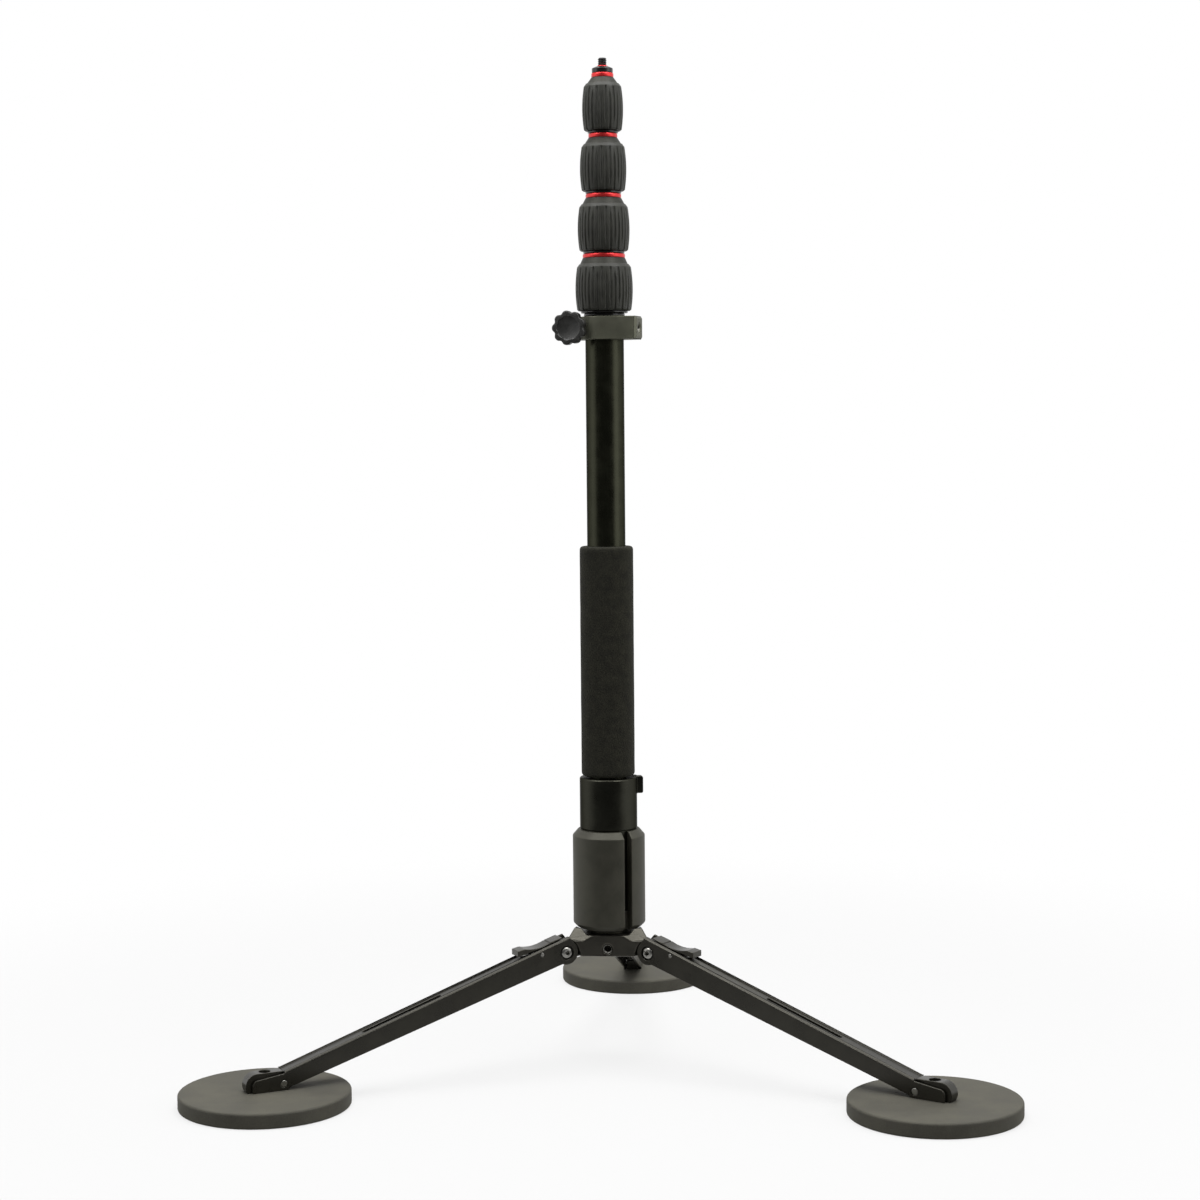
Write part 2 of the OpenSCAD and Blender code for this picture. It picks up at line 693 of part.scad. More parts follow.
module clamp_knob() {
    foot_y = -lobe_face - stop_gap;
    color(rubber_black) at_clamp() difference() {
        union() {
            clamp_screw_bar(clamp_screw_d / 2, foot_y - eps, lobe_face - stop_gap);
            clamp_screw_bar(knob_foot_d / 2, -rim_face - eps, foot_y);
            clamp_screw_bar(knob_d / 2, -knob_face, -rim_face);
        }
        for (i = [1:knob_hollows])
            translate([-screw_reach, -knob_face - eps, 0])
                rotate([-90, 360 * i / knob_hollows, 0])
                    translate([knob_d / 2 + knob_hollow_out, 0, 0])
                        cylinder(r = knob_hollow_r, h = knob_t + 2 * eps);
        clamp_screw_bar(knob_d / 2 - knob_rim, -knob_face - eps, -knob_face + knob_dish);
    }
}

// Grip, collar, housing and base bolt

module foam_grip() {
    grip_r = grip_od / 2;
    grip_top = grip_z + grip_len;
    steps = 6;
    round_low = [for (i = [0:steps]) let (a = 90 * i / steps)
        [grip_r - grip_round + grip_round * sin(a), grip_z + grip_round - grip_round * cos(a)]];
    round_top = [for (i = [0:steps]) let (a = 90 * i / steps)
        [grip_r - grip_round + grip_round * cos(a), grip_top - grip_round + grip_round * sin(a)]];
    bore = tube_r(1) + set_fit;
    color(foam_black) rotate_extrude()
        polygon(concat([[bore, grip_z]], round_low, round_top, [[bore, grip_top]]));
}

module base_collar() {
    chamfer = 0.8;
    collar_r = collar_d / 2;
    plug_r = housing_bore_d / 2 - set_fit;
    bore = tube_r(1) + set_fit;
    low_bore = tube_r(1) - tube_step_in;
    lug_z = collar_top - collar_lug_h;
    lug_reach = collar_r + collar_lug_out;
    lug_root = bore + set_fit;
    color(anodised) difference() {
        union() {
            rotate_extrude() polygon([
                [0, spigot_z], [plug_r, spigot_z], [plug_r, collar_z], [collar_r, collar_z],
                [collar_r, collar_top - chamfer], [collar_r - chamfer, collar_top], [0, collar_top]
            ]);
            rotate([0, 0, collar_lug_turn]) across(collar_lug_w) polygon([
                [lug_root, lug_z], [lug_reach - chamfer, lug_z], [lug_reach, lug_z + chamfer],
                [lug_reach, collar_top - chamfer], [lug_reach - chamfer, collar_top], [lug_root, collar_top]
            ]);
        }
        translate([0, 0, main_tube_foot]) cylinder(r = bore, h = far);
        translate([0, 0, spigot_z + spigot_floor]) cylinder(r = low_bore, h = far);
    }
}

module socket_housing() {
    r = housing_d / 2;
    bore_z = housing_z + housing_floor;
    color(anodised) difference() {
        rotate_extrude() polygon([
            [0, hub_top], [housing_neck_d / 2, hub_top], [housing_neck_d / 2, housing_z],
            [r - housing_low_in, housing_z], [r, housing_z + housing_low_h],
            [r, housing_top - housing_top_h], [r - housing_top_in, housing_top], [0, housing_top]
        ]);
        translate([0, 0, bore_z]) cylinder(d = housing_bore_d, h = far);
        translate([0, 0, hub_top - eps]) cylinder(d = base_bolt_d + 2 * set_fit, h = bolt_hole_z - hub_top);
        rotate([0, 0, housing_slot_turn])
            translate([housing_bore_d / 2 - stop_gap, -housing_slot_w / 2, 0]) cube([far, housing_slot_w, far]);
    }
}

module base_bolt() {
    socket_af = 8;
    socket_depth = 4;
    color(bright_steel) difference() {
        union() {
            translate([0, 0, bolt_seat_z - bolt_head_h]) cylinder(d = bolt_head_d, h = bolt_head_h);
            translate([0, 0, bolt_seat_z - eps])
                cylinder(d = base_bolt_d, h = bolt_hole_z - bolt_seat_z - stop_gap);
        }
        translate([0, 0, bolt_seat_z - bolt_head_h]) mirror([0, 0, 1]) hex_socket(socket_af, socket_depth, 0);
    }
}

// Hub

// Plan of the hub with its three short faces at the given distance
module hub_plan(face) {
    polygon([for (i = [1:LEGS], side = [-1, 1])
        let (a = leg_azimuth(i), t = side * flats_half(face))
            [face * cos(a) - t * sin(a), face * sin(a) + t * cos(a)]]);
}

// What lies outside the two bevels of an ear, above the hub's flanks
module ear_bevels() {
    intersection() {
        union() {
            for (side = [-1, 1])
                translate([ear_ridge, 0, ear_top]) rotate([0, 0, side * ear_turn]) rotate([0, -ear_tilt, 0])
                    translate([0, -far / 2, -far / 2]) cube([far, far, far]);
        }
        translate([0, -far / 2, hub_top - ear_bevel_h]) cube([far, far, far]);
    }
}

// Room for a leg's cheek beside the hinge lug, from rest to folded
module cheek_room() {
    room_r = leg_root_r + free_gap;
    across_y = (leg_w + hinge_lug_t) / 2;
    for (side = [-1, 1])
        translate([0, side * (hinge_lug_t / 2 + across_y / 2), 0]) {
            cross_bar(hinge_rho, hinge_z, room_r, across_y);
            across(across_y) polygon([
                from_hinge(room_r, root_angle), [root_corner_rho - free_gap, top_z(root_corner_rho) + free_gap],
                [far, top_z(root_corner_rho) + free_gap], [far, 0], [hub_face, 0], [hub_face, hinge_z]
            ]);
        }
}

module latch_notch(angle) {
    translate([hinge_rho, 0, hinge_z]) rotate([0, -angle, 0])
        translate([hinge_lug_r - notch_depth, -far / 2, -notch_w / 2]) cube([far, far, notch_w]);
}

module hinge_lug() {
    difference() {
        across(hinge_lug_t) union() {
            translate([hinge_rho, hinge_z]) circle(r = hinge_lug_r);
            translate([hub_flat, hub_z]) square([hinge_rho - hub_flat, hub_down + hinge_lug_r]);
        }
        latch_notch(pawl_angle);
        latch_notch(pawl_angle - fold_angle);
    }
}

module hub() {
    ear_reach = hinge_rho - hinge_lug_r / 2;
    color(anodised) difference() {
        union() {
            difference() {
                translate([0, 0, hub_z]) linear_extrude(height = hub_h + ear_h) hub_plan(ear_reach);
                for (i = [1:LEGS]) on_leg(i) ear_bevels();
                for (i = [1:LEGS]) on_leg(i) cheek_room();
                translate([0, 0, hub_top]) cylinder(r = ear_bore_r, h = far);
            }
            for (i = [1:LEGS]) on_leg(i) hinge_lug();
        }
        for (i = [1:LEGS]) on_leg(i) {
            cross_bar(hinge_rho, hinge_z, pivot_d / 2 + set_fit, far);
            translate([0, 0, hub_z + hub_hole_h]) rotate([0, 0, 180]) quarter_hole(hub_flat, hub_hole_depth);
        }
        translate([0, 0, hub_z - eps]) cylinder(d = bolt_head_d + 2 * free_gap, h = bolt_seat_z - hub_z + eps);
        translate([0, 0, hub_z]) cylinder(d = base_bolt_d + 2 * free_gap, h = far);
    }
}

// Two screws at each leg hinge, one from each side
module leg_pivot_screws() {
    crown_h = 0.5;
    crown_in = 1;
    head_y = leg_w / 2 - pivot_recess + stop_gap;
    head_h = pivot_recess - stop_gap;
    middle = 0.5;
    socket_af = 3;
    socket_depth = 1.2;
    color(bright_steel) for (i = [1:LEGS], side = [0, 180]) on_leg(i)
        translate([hinge_rho, 0, hinge_z]) rotate([0, 0, side]) rotate([-90, 0, 0]) difference() {
            union() {
                translate([0, 0, middle]) cylinder(d = pivot_d, h = head_y - middle + eps);
                translate([0, 0, head_y]) cylinder(d = pivot_head_d, h = head_h - crown_h);
                translate([0, 0, head_y + head_h - crown_h])
                    cylinder(d1 = pivot_head_d, d2 = pivot_head_d - 2 * crown_in, h = crown_h);
            }
            hex_socket(socket_af, socket_depth, head_y + head_h);
        }
}

// Legs

// A leg before its hollows are cut
module leg_blank() {
    toe_centre = [toe_rho - toe_r, disc_h + toe_end_h - toe_r];
    union() {
        cross_bar(hinge_rho, hinge_z, leg_root_r, leg_w);
        cross_bar(toe_centre.x, toe_centre.y, toe_r, leg_w);
        across(leg_w) polygon([
            [hinge_rho, hinge_z - leg_down], [hinge_rho, hinge_z], from_hinge(leg_root_r, root_angle),
            [root_corner_rho, top_z(root_corner_rho)], [bend_rho, top_z(bend_rho)],
            [bend_rho + stop_gap, disc_h + toe_h], [toe_centre.x, toe_centre.y + toe_r], toe_centre,
            [toe_rho, toe_centre.y], [toe_rho, disc_h], [heel_rho, disc_h], [heel_rho, disc_h + heel_h]
        ]);
    }
}

module web_slot() {
    mid = hinge_rho + web_slot_mid;
    reach = (web_slot_len - web_slot_w) / 2;
    translate([mid, 0, top_z(mid)]) rotate([0, top_angle, 0])
        linear_extrude(height = far, center = true) {
            square([2 * reach, web_slot_w], center = true);
            for (side = [-1, 1]) translate([side * reach, 0]) circle(d = web_slot_w);
        }
}

module top_edge_chamfers() {
    bar = leg_chamfer * sqrt(2);
    length = (bend_rho - hinge_rho) / cos(top_angle);
    for (side = [-1, 1])
        translate([hinge_rho, side * leg_w / 2, top_z(hinge_rho)]) rotate([0, top_angle, 0])
            rotate([45, 0, 0]) translate([-far, -bar / 2, -bar / 2]) cube([far + length, bar, bar]);
}

module leg_channel(i) {
    hollow_rho = web_rho - web_drop;
    color(anodised) on_leg(i) difference() {
        leg_blank();
        // Gap between the thick cheeks, for the hinge lug and the rocker
        translate([0, -root_half, 0]) cube([web_rho, 2 * root_half, far]);
        // Hollow under the web, open below
        across(2 * channel_half) polygon([
            [hollow_rho, 0], [fork_rho, 0], [fork_rho, web_z(fork_rho) - web_t],
            [hollow_rho, web_z(hollow_rho) - web_t]
        ]);
        // Recess above the web
        across(2 * channel_half) polygon([
            [web_rho - eps, web_z(web_rho)], [fork_rho, web_z(fork_rho)], [fork_rho, far], [web_rho - eps, far]
        ]);
        // Fork for the foot insert
        translate([fork_rho - eps, -channel_half, 0]) cube([far, 2 * channel_half, far]);
        web_slot();
        top_edge_chamfers();
        cross_bar(hinge_rho, hinge_z, pivot_d / 2 + run_fit, far);
        for (side = [-1, 1]) translate([0, side * (leg_w - pivot_recess + eps) / 2, 0])
            cross_bar(hinge_rho, hinge_z, pivot_recess_d / 2, pivot_recess + eps);
        cross_bar(rocker_rho, rocker_z, rocker_pin_d / 2 + set_fit, far);
        cross_bar(foot_rho - foot_pin_back, disc_h + foot_pin_h, foot_pin_d / 2 + set_fit, far);
    }
}

module leg_pins(i) {
    color(bright_steel) on_leg(i) {
        cross_bar(rocker_rho, rocker_z, rocker_pin_d / 2, leg_w);
        cross_bar(foot_rho - foot_pin_back, disc_h + foot_pin_h, foot_pin_d / 2, leg_w);
    }
}

module leg_foot(i) {
    nose = [foot_rho + insert_out - insert_nose_r, disc_h + insert_h - insert_nose_r];
    back_rho = heel_rho - heel_h;
    web_under = disc_h + insert_h - web_drop - 2 * web_t;
    front_rho = fork_rho + 2 * stop_gap;
    color(gloss_black) on_leg(i) difference() {
        across(2 * (channel_half - insert_gap)) intersection() {
            union() {
                translate(nose) circle(r = insert_nose_r);
                polygon([
                    [back_rho, disc_h], [nose.x, disc_h], [nose.x, disc_h + insert_h],
                    [front_rho, disc_h + insert_h], [front_rho, web_under], [back_rho, web_under]
                ]);
            }
            translate([0, disc_h]) square(far);
        }
        cross_bar(foot_rho - foot_pin_back, disc_h + foot_pin_h, foot_pin_d / 2 + set_fit, far);
        translate([foot_rho, 0, disc_h - eps])
            cylinder(d = disc_screw_d + 2 * set_fit, h = insert_h + 2 * eps);
    }
}

module leg_disc(i) {
    cone_h = (disc_head_d - disc_screw_d) / 2;
    r = disc_d / 2;
    color(disc_grey) on_leg(i) translate([foot_rho, 0, 0]) difference() {
        rotate_extrude() polygon([
            [0, 0], [r - disc_edge, 0], [r, disc_edge], [r, disc_h - disc_edge], [r - disc_edge, disc_h],
            [0, disc_h]
        ]);
        translate([0, 0, -eps]) cylinder(d = disc_screw_d + 2 * set_fit, h = disc_h + 2 * eps);
        translate([0, 0, -eps]) cylinder(d = disc_head_d + 2 * set_fit, h = disc_head_z + eps);
        translate([0, 0, disc_head_z - eps])
            cylinder(d1 = disc_head_d + 2 * set_fit, d2 = disc_screw_d + 2 * set_fit, h = cone_h + eps);
    }
}

module leg_disc_screw(i) {
    cone_h = (disc_head_d - disc_screw_d) / 2;
    screw_top = disc_h + insert_h - disc_screw_drop;
    socket_af = 5;
    socket_depth = 2.5;
    color(bright_steel) on_leg(i) translate([foot_rho, 0, 0]) difference() {
        union() {
            translate([0, 0, disc_head_z]) cylinder(d1 = disc_head_d, d2 = disc_screw_d, h = cone_h);
            translate([0, 0, disc_head_z + cone_h - eps])
                cylinder(d = disc_screw_d, h = screw_top - disc_head_z - cone_h);
        }
        translate([0, 0, disc_head_z]) mirror([0, 0, 1]) hex_socket(socket_af, socket_depth, 0);
    }
}

// Leaf spring on the web, hidden under the rocker's pad
module leg_spring(i) {
    foot = web_rho + spring_back;
    knee = foot + spring_foot;
    lift = rocker_tip - spring_short;
    lift_z = pad_z(lift) - stop_gap;
    color(bright_steel) on_leg(i) across(spring_w) polygon([
        [foot, web_z(foot)], [knee, web_z(knee)], [lift, lift_z - spring_t], [lift, lift_z],
        [knee, web_z(knee) + spring_t], [foot, web_z(foot) + spring_t]
    ]);
}

module leg_rocker(i) {
    crease = rocker_rho - crease_in;
    rise = rocker_rho + rise_out;
    steps = 10;
    start = [crease, top_z(crease) + crease_proud];
    pull = [(crease + rise) / 2, top_z((crease + rise) / 2) + dish_proud];
    stop = [rise, top_z(rise) + rise_proud];
    dish = [for (k = [0:steps]) bezier(start, pull, stop, k / steps)];
    boss_side = rocker_rho + rocker_boss_r;
    pawl_back = rocker_end + pawl_shoulder;
    color(gloss_black) on_leg(i) difference() {
        union() {
            across(rocker_pad_w) polygon(concat(
                [[rocker_end, pad_z(rocker_end)], [rocker_end, top_z(rocker_end) + inner_proud]], dish,
                [[rocker_tip, top_z(rocker_tip) + tip_proud], [rocker_tip, pad_z(rocker_tip)],
                [rocker_rho, pad_z(rocker_rho)]]
            ));
            across(2 * rocker_half) {
                translate([rocker_rho, rocker_z]) circle(r = rocker_boss_r);
                polygon([
                    [pawl_back, pad_z(pawl_back) + free_gap],
                    from_hinge(pawl_r + pawl_shoulder, pawl_angle + pawl_spread),
                    from_hinge(pawl_r, pawl_angle - pawl_tip_turn),
                    from_hinge(pawl_r + pawl_heel, pawl_angle - pawl_spread),
                    [rocker_rho - rocker_boss_r * cos(boss_angle), rocker_z - rocker_boss_r * sin(boss_angle)],
                    [boss_side, rocker_z], [boss_side, pad_z(boss_side) + free_gap]
                ]);
            }
        }
        cross_bar(rocker_rho, rocker_z, rocker_pin_d / 2 + run_fit, far);
        across(leg_w) translate(start) rotate(-top_angle) square([crease_w, 2 * crease_depth], center = true);
    }
}

main_tube();
foam_grip();
base_collar();
socket_housing();
base_bolt();
hub();
leg_pivot_screws();
top_platform();
camera_stud();
clamp_band();
clamp_knob();
for (n = SLIDERS) {
    sliding_tube(n);
    guide_bush(n);
}
for (n = [1:LOCKS]) {
    lock_sleeve(n);
    lock_collet(n);
    lock_nut(n);
    lock_grip(n);
    lock_ring(n);
}
for (i = [1:LEGS]) {
    leg_channel(i);
    leg_pins(i);
    leg_foot(i);
    leg_disc(i);
    leg_disc_screw(i);
    leg_spring(i);
    leg_rocker(i);
}
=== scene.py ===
"""Looks of a telescopic camera monopod that stands, collapsed, on a folding three-leg base.

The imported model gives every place; sizes in the classes are in millimetres and angles in degrees.
"""

import json
import logging
import math
from dataclasses import dataclass
from enum import Enum
from typing import Any, Iterable, Mapping, Sequence

import bmesh
import bpy
from mathutils import Matrix, Vector, noise


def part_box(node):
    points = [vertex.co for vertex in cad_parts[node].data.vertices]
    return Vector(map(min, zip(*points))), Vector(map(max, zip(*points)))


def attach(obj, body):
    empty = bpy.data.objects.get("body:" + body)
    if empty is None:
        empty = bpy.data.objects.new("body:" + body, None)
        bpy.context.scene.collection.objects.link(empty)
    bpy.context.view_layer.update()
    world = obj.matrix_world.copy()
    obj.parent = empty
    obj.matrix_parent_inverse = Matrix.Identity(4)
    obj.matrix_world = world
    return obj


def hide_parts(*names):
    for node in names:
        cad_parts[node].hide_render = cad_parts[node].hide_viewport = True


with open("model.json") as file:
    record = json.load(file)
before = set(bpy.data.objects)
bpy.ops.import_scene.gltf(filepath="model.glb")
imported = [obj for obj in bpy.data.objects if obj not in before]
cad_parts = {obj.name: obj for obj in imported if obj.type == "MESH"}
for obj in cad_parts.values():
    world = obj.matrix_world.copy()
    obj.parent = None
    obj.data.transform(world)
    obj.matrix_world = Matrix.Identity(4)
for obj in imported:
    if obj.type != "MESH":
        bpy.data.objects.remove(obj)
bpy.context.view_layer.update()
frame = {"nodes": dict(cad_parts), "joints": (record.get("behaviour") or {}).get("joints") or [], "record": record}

MM = 0.001
FULL_TURN = 2 * math.pi
LOCKS = range(1, 5)
LEGS = range(1, 4)
RIB_ATTRIBUTE = "rib_share"
TURN_ATTRIBUTE = "turn"
WHITE = (1.0, 1.0, 1.0, 1.0)
# Gap between a sleeve's bore and the piece inside it
SEAT_GAP = 0.03
# Share of an edge that a rounding may take, so that two roundings never meet
EDGE_SHARE = 0.49
# Points closer than this are merged before a copied mesh is rounded
WELD_GAP = 0.002
# Faces that meet at less than this angle are joined, and edges above the other one are rounded
FLAT_ANGLE, SHARP_ANGLE = 0.4, 14.0
log = logging.getLogger("monopod")

Profile = list[tuple[float, float]]
Socket = bpy.types.NodeSocket


def grey(share: float) -> tuple[float, float, float, float]:
    """Returns a grey of the given lightness, with full alpha."""
    return share, share, share, 1.0


class Wiring:
    """Adds nodes to one node tree and wires them up."""

    def __init__(self, tree: bpy.types.NodeTree) -> None:
        """Keeps the tree that the nodes go into."""
        self.tree = tree

    def feed(self, node: bpy.types.Node, inputs: Mapping[int | str, Any]) -> None:
        """Sets a node's inputs.

        Args:
            node: the node.
            inputs: a value or another node's output for each named or numbered input.
        """
        for key, value in inputs.items():
            if isinstance(value, Socket):
                self.tree.links.new(value, node.inputs[key])
            else:
                node.inputs[key].default_value = value

    def node(self, kind: str, inputs: Mapping[int | str, Any] | None = None,
             **settings: Any) -> bpy.types.Node:
        """Adds one node.

        Args:
            kind: the node's type name.
            inputs: a value or another node's output for each named or numbered input.
            settings: the node's own properties.

        Returns:
            The new node.
        """
        made = self.tree.nodes.new(kind)
        for key, value in settings.items():
            setattr(made, key, value)
        self.feed(made, inputs or {})
        return made

    def out(self, kind: str, inputs: Mapping[int | str, Any] | None = None, **settings: Any) -> Socket:
        """Returns the first output of a new node."""
        return self.node(kind, inputs, **settings).outputs[0]

    def math(self, operation: str, *values: Any) -> Socket:
        """Returns the output of a Math node with the given operation and values."""
        return self.out("ShaderNodeMath", dict(enumerate(values)), operation=operation)

    def spread(self, value: Any, start: float, end: float, low: float, high: float) -> Socket:
        """Returns a value eased from the range of start and end into the range of low and high."""
        inputs = {"Value": value, "From Min": start, "From Max": end, "To Min": low, "To Max": high}
        return self.out("ShaderNodeMapRange", inputs, interpolation_type="SMOOTHSTEP")

    def blend(self, share: Any, first: Any, second: Any) -> Socket:
        """Returns the output of a colour mix of two colours by a share."""
        return self.node("ShaderNodeMix", {0: share, 6: first, 7: second}, data_type="RGBA").outputs[2]

    def sight(self) -> tuple[Socket, Socket]:
        """Returns which rays see a surface plainly and which see it mirrored."""
        path = self.node("ShaderNodeLightPath").outputs
        return self.math("MAXIMUM", path["Is Camera Ray"], path["Is Transmission Ray"]), path["Is Glossy Ray"]


class Grain(Enum):
    """How a surface was made, which sets the texture that it carries."""

    BLASTED = "bead blasted"
    DRAWN = "drawn through a die"
    TURNED = "turned on a lathe"
    MOULDED = "moulded"
    FOAM = "foamed"
    CAST = "cast"


@dataclass(frozen=True)
class GrainSize:
    """Sizes of a surface's texture, in millimetres, and how much it shows."""

    fine: float
    cloud: float
    relief: float
    tint: float
    gloss: float
    stretch: tuple[float, float, float] = (1.0, 1.0, 1.0)


ALONG_AXIS = (1.0, 1.0, 0.02)
ROUND_AXIS = (0.03, 0.03, 1.0)
GRAIN_SIZES: dict[Grain, GrainSize] = {
    Grain.BLASTED: GrainSize(fine=0.35, cloud=14.0, relief=0.012, tint=0.16, gloss=0.05),
    Grain.DRAWN: GrainSize(fine=0.4, cloud=9.0, relief=0.002, tint=0.14, gloss=0.05, stretch=ALONG_AXIS),
    Grain.TURNED: GrainSize(fine=0.3, cloud=12.0, relief=0.0015, tint=0.10, gloss=0.05, stretch=ROUND_AXIS),
    Grain.MOULDED: GrainSize(fine=0.6, cloud=7.0, relief=0.03, tint=0.22, gloss=0.07),
    Grain.FOAM: GrainSize(fine=0.9, cloud=6.0, relief=0.14, tint=0.38, gloss=0.04),
    Grain.CAST: GrainSize(fine=0.9, cloud=26.0, relief=0.05, tint=0.24, gloss=0.08),
}
# Share of the cloudy pattern in a surface's look; the fine grain has the rest
CLOUD_SHARE = 0.7
CLOUD_DETAIL, FINE_DETAIL = 3.0, 2.0
# Part of the mixed pattern that the colour and the roughness spread over
PATTERN_RANGE = (0.3, 0.7)
# Pointiness of an even face and of a sharp edge, and how many times lighter the edge is painted: partly wear,
# partly painted highlight
EDGE_WEAR_AND_HIGHLIGHT_RANGE = (0.52, 0.62)
EDGE_WEAR_AND_HIGHLIGHT_SHADE = 3.0


@dataclass(frozen=True)
class Finish:
    """One surface finish, made as a procedural material on the piece's own coordinates."""

    name: str
    colour: tuple[float, float, float]
    roughness: float
    grain: Grain
    metallic: float = 0.0
    specular: float = 0.5
    sheen: float = 0.0
    rim: float = 1.0
    # How much sharp edges are painted lighter: partly wear, partly painted highlight
    edge_wear_and_highlight: float = 0.0

    def shade(self, share: float) -> tuple[float, float, float, float]:
        """Returns the colour made lighter or darker by a share, with full alpha."""
        red, green, blue = (min(1.0, value * share) for value in self.colour)
        return red, green, blue, 1.0

    def material(self) -> bpy.types.Material:
        """Makes the material at its first use.

        Returns:
            The material, shared by every piece with this finish.
        """
        known = bpy.data.materials.get(self.name)
        if known:
            return known
        made = bpy.data.materials.new(self.name)
        made.use_nodes = True
        wiring = Wiring(made.node_tree)
        size = GRAIN_SIZES[self.grain]
        place = wiring.node("ShaderNodeTexCoord").outputs["Object"]
        fine = self.fine_grain(wiring, place, size)
        clouds = {"Vector": place, "Scale": 1 / (size.cloud * MM), "Detail": CLOUD_DETAIL}
        cloud = wiring.out("ShaderNodeTexNoise", clouds)
        rest = wiring.math("MULTIPLY", fine, 1 - CLOUD_SHARE)
        both = wiring.math("MULTIPLY_ADD", cloud, CLOUD_SHARE, rest)
        dark, light = self.shade(1 - size.tint), self.shade(1 + size.tint)
        colour = wiring.blend(wiring.spread(both, *PATTERN_RANGE, 0.0, 1.0), dark, light)
        # Sharp edges are painted lighter, partly as wear and partly as a painted highlight
        if self.edge_wear_and_highlight:
            pointed = wiring.node("ShaderNodeNewGeometry").outputs["Pointiness"]
            worn_and_highlit = wiring.spread(pointed, *EDGE_WEAR_AND_HIGHLIGHT_RANGE, 0.0, self.edge_wear_and_highlight)
            colour = wiring.blend(worn_and_highlit, colour, self.shade(EDGE_WEAR_AND_HIGHLIGHT_SHADE))
        glossy, matt = self.roughness - size.gloss, self.roughness + size.gloss
        rough = wiring.spread(both, *PATTERN_RANGE, glossy, matt)
        relief = {"Height": fine, "Distance": size.relief * MM, "Strength": 1.0}
        bump = wiring.out("ShaderNodeBump", relief)
        wiring.feed(made.node_tree.nodes["Principled BSDF"], {
            "Base Color": colour, "Roughness": rough, "Normal": bump, "Metallic": self.metallic,
            "Specular IOR Level": self.specular, "Sheen Weight": self.sheen, "Specular Tint": grey(self.rim),
        })
        return made

    def fine_grain(self, wiring: Wiring, place: Socket, size: GrainSize) -> Socket:
        """Adds the fine texture.

        Args:
            wiring: the material's nodes.
            place: the piece's coordinates.
            size: the grain's sizes.

        Returns:
            The texture's height, about 0 to 1.
        """
        stretched = wiring.out("ShaderNodeMapping", {"Vector": place, "Scale": size.stretch})
        grain = {"Vector": stretched, "Scale": 1 / (size.fine * MM)}
        if self.grain is Grain.FOAM:
            return wiring.node("ShaderNodeTexVoronoi", grain).outputs["Distance"]
        return wiring.out("ShaderNodeTexNoise", grain | {"Detail": FINE_DETAIL})


SATIN_TUBE = Finish("satin_anodised_tube", (0.036, 0.037, 0.025), 0.30, Grain.DRAWN, metallic=0.9, rim=0.35)
SATIN_TURNED = Finish("satin_anodised_turned", (0.037, 0.037, 0.029), 0.32, Grain.TURNED,
                      metallic=0.9, rim=0.35, edge_wear_and_highlight=0.12)
MATT_NECK = Finish("matt_anodised_neck", (0.040, 0.040, 0.032), 0.5, Grain.TURNED,
                   metallic=0.3, rim=0.5, edge_wear_and_highlight=0.1)
BLASTED_BLACK = Finish("blasted_anodised", (0.070, 0.068, 0.052), 0.52, Grain.BLASTED,
                       metallic=0.35, rim=0.6, edge_wear_and_highlight=0.16)
GLOSS_BLACK = Finish("gloss_anodised", (0.012, 0.012, 0.011), 0.2, Grain.TURNED, edge_wear_and_highlight=0.12)
SATIN_BLACK = Finish("satin_anodised_milled", (0.033, 0.031, 0.024), 0.3, Grain.BLASTED,
                     metallic=0.6, edge_wear_and_highlight=0.3)
SATIN_CASTING = Finish("satin_anodised_casting", (0.056, 0.053, 0.043), 0.34, Grain.BLASTED,
                       metallic=0.75, edge_wear_and_highlight=0.35)
SATIN_CLAMP = Finish("satin_anodised_clamp", (0.150, 0.152, 0.114), 0.44, Grain.BLASTED,
                     metallic=0.35, rim=0.25, edge_wear_and_highlight=0.25)
BARE_THREAD = Finish("bare_cut_thread", (0.27, 0.265, 0.24), 0.34, Grain.TURNED, metallic=1.0)
RED_RING = Finish("red_anodised_ring", (1.0, 0.030, 0.034), 0.36, Grain.TURNED, metallic=0.45, specular=0.6)
BRIGHT_STEEL = Finish("bright_steel_turned", (0.26, 0.256, 0.238), 0.26, Grain.TURNED, metallic=1.0)
BLACK_STEEL = Finish("blackened_steel", (0.016, 0.016, 0.016), 0.36, Grain.TURNED, edge_wear_and_highlight=0.2)
GRIP_RUBBER = Finish("grip_rubber_moulded", (0.031, 0.032, 0.023), 0.5, Grain.MOULDED, specular=0.4)
GRIP_FOAM = Finish("grip_foam_cells", (0.031, 0.0303, 0.021), 0.94, Grain.FOAM, specular=0.2, sheen=0.04)
KNOB_PLASTIC = Finish("knob_plastic_moulded", (0.030, 0.030, 0.027), 0.46, Grain.MOULDED)
GUIDE_PLASTIC = Finish("guide_plastic_moulded", (0.70, 0.70, 0.66), 0.45, Grain.MOULDED)
DISC_IRON = Finish("disc_iron_coated", (0.114, 0.109, 0.086), 0.72, Grain.CAST, specular=0.3)

# Finishes of the model's own nodes that still show, apart from the tubes
SLOT_FINISHES: dict[str, Finish] = {"bright_steel": BRIGHT_STEEL, "guide_plastic": GUIDE_PLASTIC}
NODE_SLOTS: dict[str, str] = {row["node"]: row["material_slot"] for row in frame["record"]["subparts"]}
NODE_BODIES: dict[str, str] = {
    node: body for body, members in frame["record"]["behaviour"]["bodies"].items() for node in members
}
JOINTS: dict[str, dict[str, Any]] = {joint["name"]: joint for joint in frame["joints"]}
MOUNTS: dict[str, dict[str, Any]] = {mount["name"]: mount for mount in frame["record"]["mounts"]}


